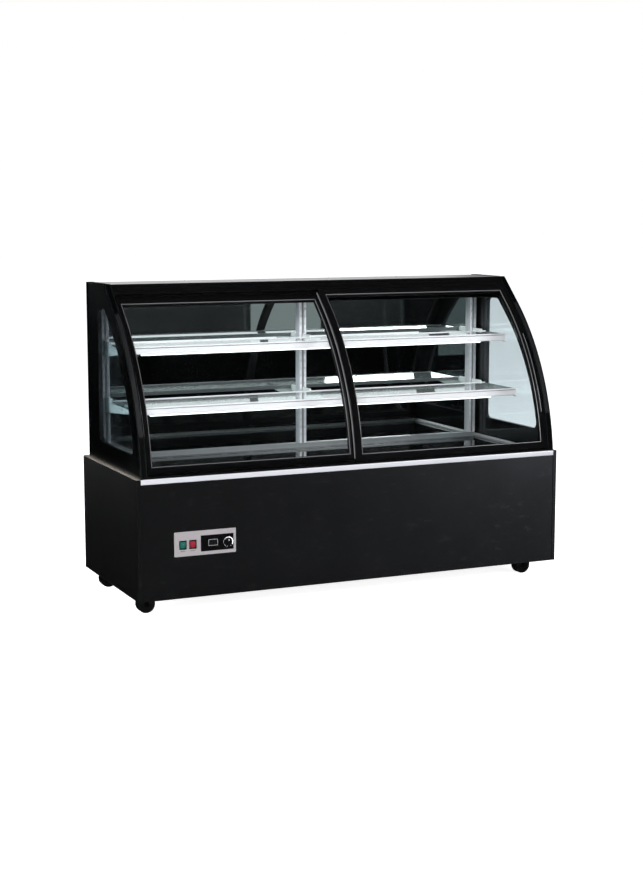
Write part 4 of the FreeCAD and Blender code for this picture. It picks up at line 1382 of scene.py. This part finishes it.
@dataclass
class Casters:
    """Four swivelling twin-wheel casters.

    Attributes:
        shop: The shop that makes the pieces.
        pivot: Distance of a caster's pivot from the case's middle, across.
        plate: Thickness of a mounting plate.
        bolt_offset: Distance of a bolt from the plate's middle, each way.
        bolt_profile: Radius and height of a bolt's head, from its seat.
        cap_profile: Radius and height of a hub cap, from the wheel's face.
        cap_sink: How far a hub cap is let into the wheel.
    """

    shop: Shop
    pivot: float = 820 * MM
    plate: float = 3 * MM
    bolt_offset: float = 22 * MM
    bolt_profile: tuple[Pair, ...] = ((5.0 * MM, 0.0), (5.0 * MM, 2.6 * MM), (4.4 * MM, 3.1 * MM),
                                      (0.4 * MM, 3.1 * MM))
    cap_profile: tuple[Pair, ...] = ((13.5 * MM, 0.0), (13.5 * MM, 0.3 * MM), (11.5 * MM, 0.75 * MM),
                                     (9.0 * MM, 0.6 * MM), (8.0 * MM, 0.1 * MM), (5.2 * MM, 0.1 * MM))
    cap_sink: float = 0.1 * MM

    def _caster(self, place: str, bolts: Form) -> None:
        """Dresses one caster and makes its hub caps.

        Args:
            place: Its corner, such as front_left.
            bolts: The form that its bolts are added to.
        """
        self.shop.dress(f"caster_fork_{place}", f"caster_wheels_{place}")
        low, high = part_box(f"caster_wheels_{place}")
        x, y, z = ((start + end) / 2 for start, end in zip(low, high))
        caps = Form()
        for face, sign in ((low.y, -1), (high.y, 1)):
            caps.turned(self.cap_profile, (x, face - sign * self.cap_sink, z), (0, sign, 0), 40)
        self.shop.piece(f"hub_caps_{place}", caps, Slot.TYRE, f"wheels_{place}",
                        finish=("caster_black", FINISHES[Slot.CASTER]))
        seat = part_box("caster_plates")[1].z - self.plate
        middle = math.copysign(self.pivot, x)
        for dx in (-self.bolt_offset, self.bolt_offset):
            for dy in (-self.bolt_offset, self.bolt_offset):
                bolts.turned(self.bolt_profile, (middle + dx, y + dy, seat), (0, 0, -1), 6)

    def build(self) -> None:
        """Makes all four casters."""
        self.shop.dress("caster_plates")
        bolts = Form()
        for row in ("front", "rear"):
            for side in ("left", "right"):
                self._caster(f"{row}_{side}", bolts)
        self.shop.piece("plate_bolts", bolts, Slot.GALVANISED, "cabinet", 0.2 * MM,
                        finish=("zinc_screw", ZINC_SCREW))


@dataclass(frozen=True)
class SoftBox:
    """A soft lamp of the studio.

    Attributes:
        name: The lamp's name.
        place: Where it stands.
        aim: The point that it faces.
        size: Its width and height.
        power: Its power in watts.
        colour: Its colour.
        receives: The groups of pieces that it lights.
        passes_doors: Whether the doors cast no shadow of it.
    """

    name: str
    place: Triple
    aim: Triple
    size: Pair
    power: float
    colour: Colour = (1.0, 1.0, 1.0)
    receives: tuple[Lit, ...] = (Lit.PALE,)
    passes_doors: bool = False


@dataclass
class Studio:
    """Camera, soft lamps, floor and backdrop.

    Attributes:
        shop: The shop whose pieces are lit.
        camera_place: Where the camera stands.
        camera_pitch: How far it looks down, in degrees.
        camera_heading: How far it looks to the right, in degrees.
        lens: Its focal length in millimetres.
        sensor: Width of its sensor in millimetres.
        boxes: The soft lamps.
        floor_colour: Colour of the floor.
        floor_glow: How much the floor is lifted where the camera sees it.
        backdrop: What the backdrop is to the camera.
        soft_light: What it is as light.
        mirrored: What it is in mirrored light.
    """

    shop: Shop
    camera_place: Triple = (-2.734, -5.962, 1.513)
    camera_pitch: float = 8.136
    camera_heading: float = 24.605
    lens: float = 67.0
    sensor: float = 36.0
    floor_colour: Colour = (0.86, 0.86, 0.86)
    floor_glow: float = 0.88
    backdrop: Colour = (1.0, 1.0, 1.0)
    soft_light: Colour = (0.30, 0.31, 0.32)
    mirrored: Colour = (0.0012, 0.0013, 0.0014)
    boxes: tuple[SoftBox, ...] = (
        SoftBox("key_box", (-2.6, -4.6, 3.4), (0.0, 0.0, 0.8), (3.2, 2.2), 500.0,
                receives=(Lit.PALE, Lit.SHELF_GLASS)),
        SoftBox("fill_box", (3.6, -4.4, 2.4), (0.2, 0.0, 0.7), (2.6, 2.6), 280.0,
                receives=(Lit.PALE, Lit.SHELF_GLASS)),
        SoftBox("left_box", (-3.4, -0.9, 1.1), (0.0, 0.0, 0.9), (1.2, 1.2), 130.0),
        SoftBox("roof_box", (0.0, 0.6, 3.6), (0.0, 0.2, 1.2), (4.0, 2.4), 40.0),
        SoftBox("rim_box", (0.5, 4.4, 2.3), (0.0, 0.2, 1.0), (5.0, 1.8), 30.0),
        SoftBox("dark_key", (-2.6, -4.6, 3.4), (0.0, 0.0, 0.8), (3.2, 2.2), 45.0, receives=(Lit.DARK,)),
        SoftBox("board_key", (-2.6, -4.6, 3.4), (0.0, 0.0, 0.8), (3.2, 2.2), 22.0, receives=(Lit.BOARD,)),
        SoftBox("dark_rim", (3.8, 3.0, 2.6), (0.0, 0.0, 1.0), (2.4, 2.4), 50.0, receives=(Lit.DARK,)),
        SoftBox("shelf_sheen", (1.0, -2.6, 1.85), (1.0, 0.0, 1.85), (9.0, 1.40), 50.0,
                (0.93, 0.98, 1.0), (Lit.MIRROR, Lit.SHELF_GLASS), True),
        SoftBox("board_sheen", (3.7, -3.4, 1.35), (0.85, -0.34, 0.45), (1.0, 1.0), 135.0,
                (0.86, 0.91, 1.0), (Lit.BOARD,)),
        SoftBox("side_sheen", (-2.6, 4.6, 1.3), (-0.9, 0.0, 0.45), (1.4, 1.0), 60.0,
                (0.95, 0.97, 1.0), (Lit.BOARD,)),
        SoftBox("dark_back", (-1.8, 4.4, 2.4), (0.0, 0.3, 0.6), (2.4, 2.0), 60.0, receives=(Lit.DARK,)),
        SoftBox("right_card", (1.55, -0.8, 0.93), (1.55, 0.0, 0.93), (0.6, 0.34), 0.09,
                (0.82, 0.95, 0.93), (Lit.MIRROR,)),
        SoftBox("middle_card", (0.41, -0.8, 1.01), (0.41, 0.0, 1.01), (0.37, 0.22), 0.07,
                (0.82, 0.95, 0.93), (Lit.MIRROR,)),
        SoftBox("left_card", (-1.6, -0.25, 0.9), (0.0, -0.25, 0.9), (1.6, 1.2), 1.4,
                (0.80, 0.92, 0.95), (Lit.MIRROR,)),
    )

    def _group(self, wanted: Sequence[Lit]) -> bpy.types.Collection:
        """Collects the pieces of some lighting groups, once.

        Args:
            wanted: The groups.

        Returns:
            Their collection.
        """
        name = "lit_" + "_".join(group.value for group in wanted)
        if name in bpy.data.collections:
            return bpy.data.collections[name]
        made = bpy.data.collections.new(name)
        for group in wanted:
            for piece in self.shop.shown.get(group, []):
                made.objects.link(piece)
        if Lit.PALE in wanted:
            made.objects.link(bpy.data.objects["studio_floor"])
        return made

    def _lamp(self, box: SoftBox) -> None:
        """Sets up one soft lamp.

        Args:
            box: The lamp.
        """
        data = bpy.data.lights.new(box.name, "AREA")
        data.shape = "RECTANGLE"
        data.size, data.size_y = box.size
        data.energy = box.power
        data.color = box.colour
        lamp = bpy.data.objects.new(box.name, data)
        lamp.location = box.place
        facing = Vector(box.aim) - Vector(box.place)
        lamp.rotation_euler = facing.to_track_quat("-Z", "Y").to_euler()
        bpy.context.scene.collection.objects.link(lamp)
        lamp.visible_camera = False
        lamp.light_linking.receiver_collection = self._group(box.receives)
        if box.passes_doors:
            lamp.light_linking.blocker_collection = self._group((Lit.PALE, Lit.BOARD))

    def _floor(self) -> None:
        """Lays a plain pale floor that stays out of mirrored light."""
        form = Form()
        bmesh.ops.create_grid(form.mesh, x_segments=8, y_segments=8, size=40.0)
        data = bpy.data.meshes.new("studio_floor")
        form.mesh.to_mesh(data)
        form.mesh.free()
        floor = bpy.data.objects.new("studio_floor", data)
        bpy.context.scene.collection.objects.link(floor)
        shader = Shader("pale_floor")
        paths = shader.node("ShaderNodeLightPath", {}, {})
        seen = Value(shader, paths.outputs["Is Camera Ray"])
        matt = shader.node("ShaderNodeBsdfDiffuse", {}, {"Color": self.floor_colour})
        glow = shader.node("ShaderNodeEmission", {}, {
            "Color": self.backdrop, "Strength": seen * self.floor_glow})
        both = shader.node("ShaderNodeAddShader", {}, {0: matt.outputs[0], 1: glow.outputs[0]})
        data.materials.append(shader.finish(both.outputs[0]))
        floor.visible_glossy = False

    def _backdrop(self) -> None:
        """Makes the surroundings white to the eye, grey as light and dark in mirrored light."""
        world = bpy.data.worlds.new("backdrop")
        shader = Shader(world.name, world)
        paths = shader.node("ShaderNodeLightPath", {}, {})
        shown = shader.node("ShaderNodeBackground", {}, {"Color": self.mirrored})
        for ray, colour in (("Is Diffuse Ray", self.soft_light), ("Is Camera Ray", self.backdrop)):
            other = shader.node("ShaderNodeBackground", {}, {"Color": colour})
            shown = shader.node("ShaderNodeMixShader", {}, {
                0: paths.outputs[ray], 1: shown.outputs[0], 2: other.outputs[0]})
        shader.node("ShaderNodeOutputWorld", {}, {0: shown.outputs[0]})
        bpy.context.scene.world = world

    def build(self) -> None:
        """Sets up the studio."""
        data = bpy.data.cameras.new("camera")
        data.lens = self.lens
        data.sensor_width = self.sensor
        camera = bpy.data.objects.new("camera", data)
        camera.location = self.camera_place
        camera.rotation_euler = (
            math.radians(90 - self.camera_pitch), 0.0, math.radians(-self.camera_heading))
        bpy.context.scene.collection.objects.link(camera)
        scene = bpy.context.scene
        scene.camera = camera
        scene.view_settings.view_transform = "Standard"
        scene.cycles.transparent_max_bounces = 32
        scene.cycles.max_bounces = 16
        scene.cycles.glossy_bounces = 10
        self._floor()
        self._backdrop()
        for box in self.boxes:
            self._lamp(box)


def main() -> None:
    """Builds every sub-assembly and the studio."""
    logging.basicConfig(level=logging.INFO, format="%(message)s")
    shop = Shop()
    assemblies = (
        BaseCabinet(shop), ControlPanel(shop), CoolingUnit(shop), RearCover(shop), GlazedEnds(shop),
        RoofAndBack(shop), Deck(shop), SlidingDoor(shop, Track.OUTER, 2 * MM),
        SlidingDoor(shop, Track.INNER, 28 * MM), Shelves(shop), Casters(shop), Studio(shop))
    for assembly in assemblies:
        LOG.info("building %s", type(assembly).__name__)
        assembly.build()


if __name__ == "__main__":
    main()
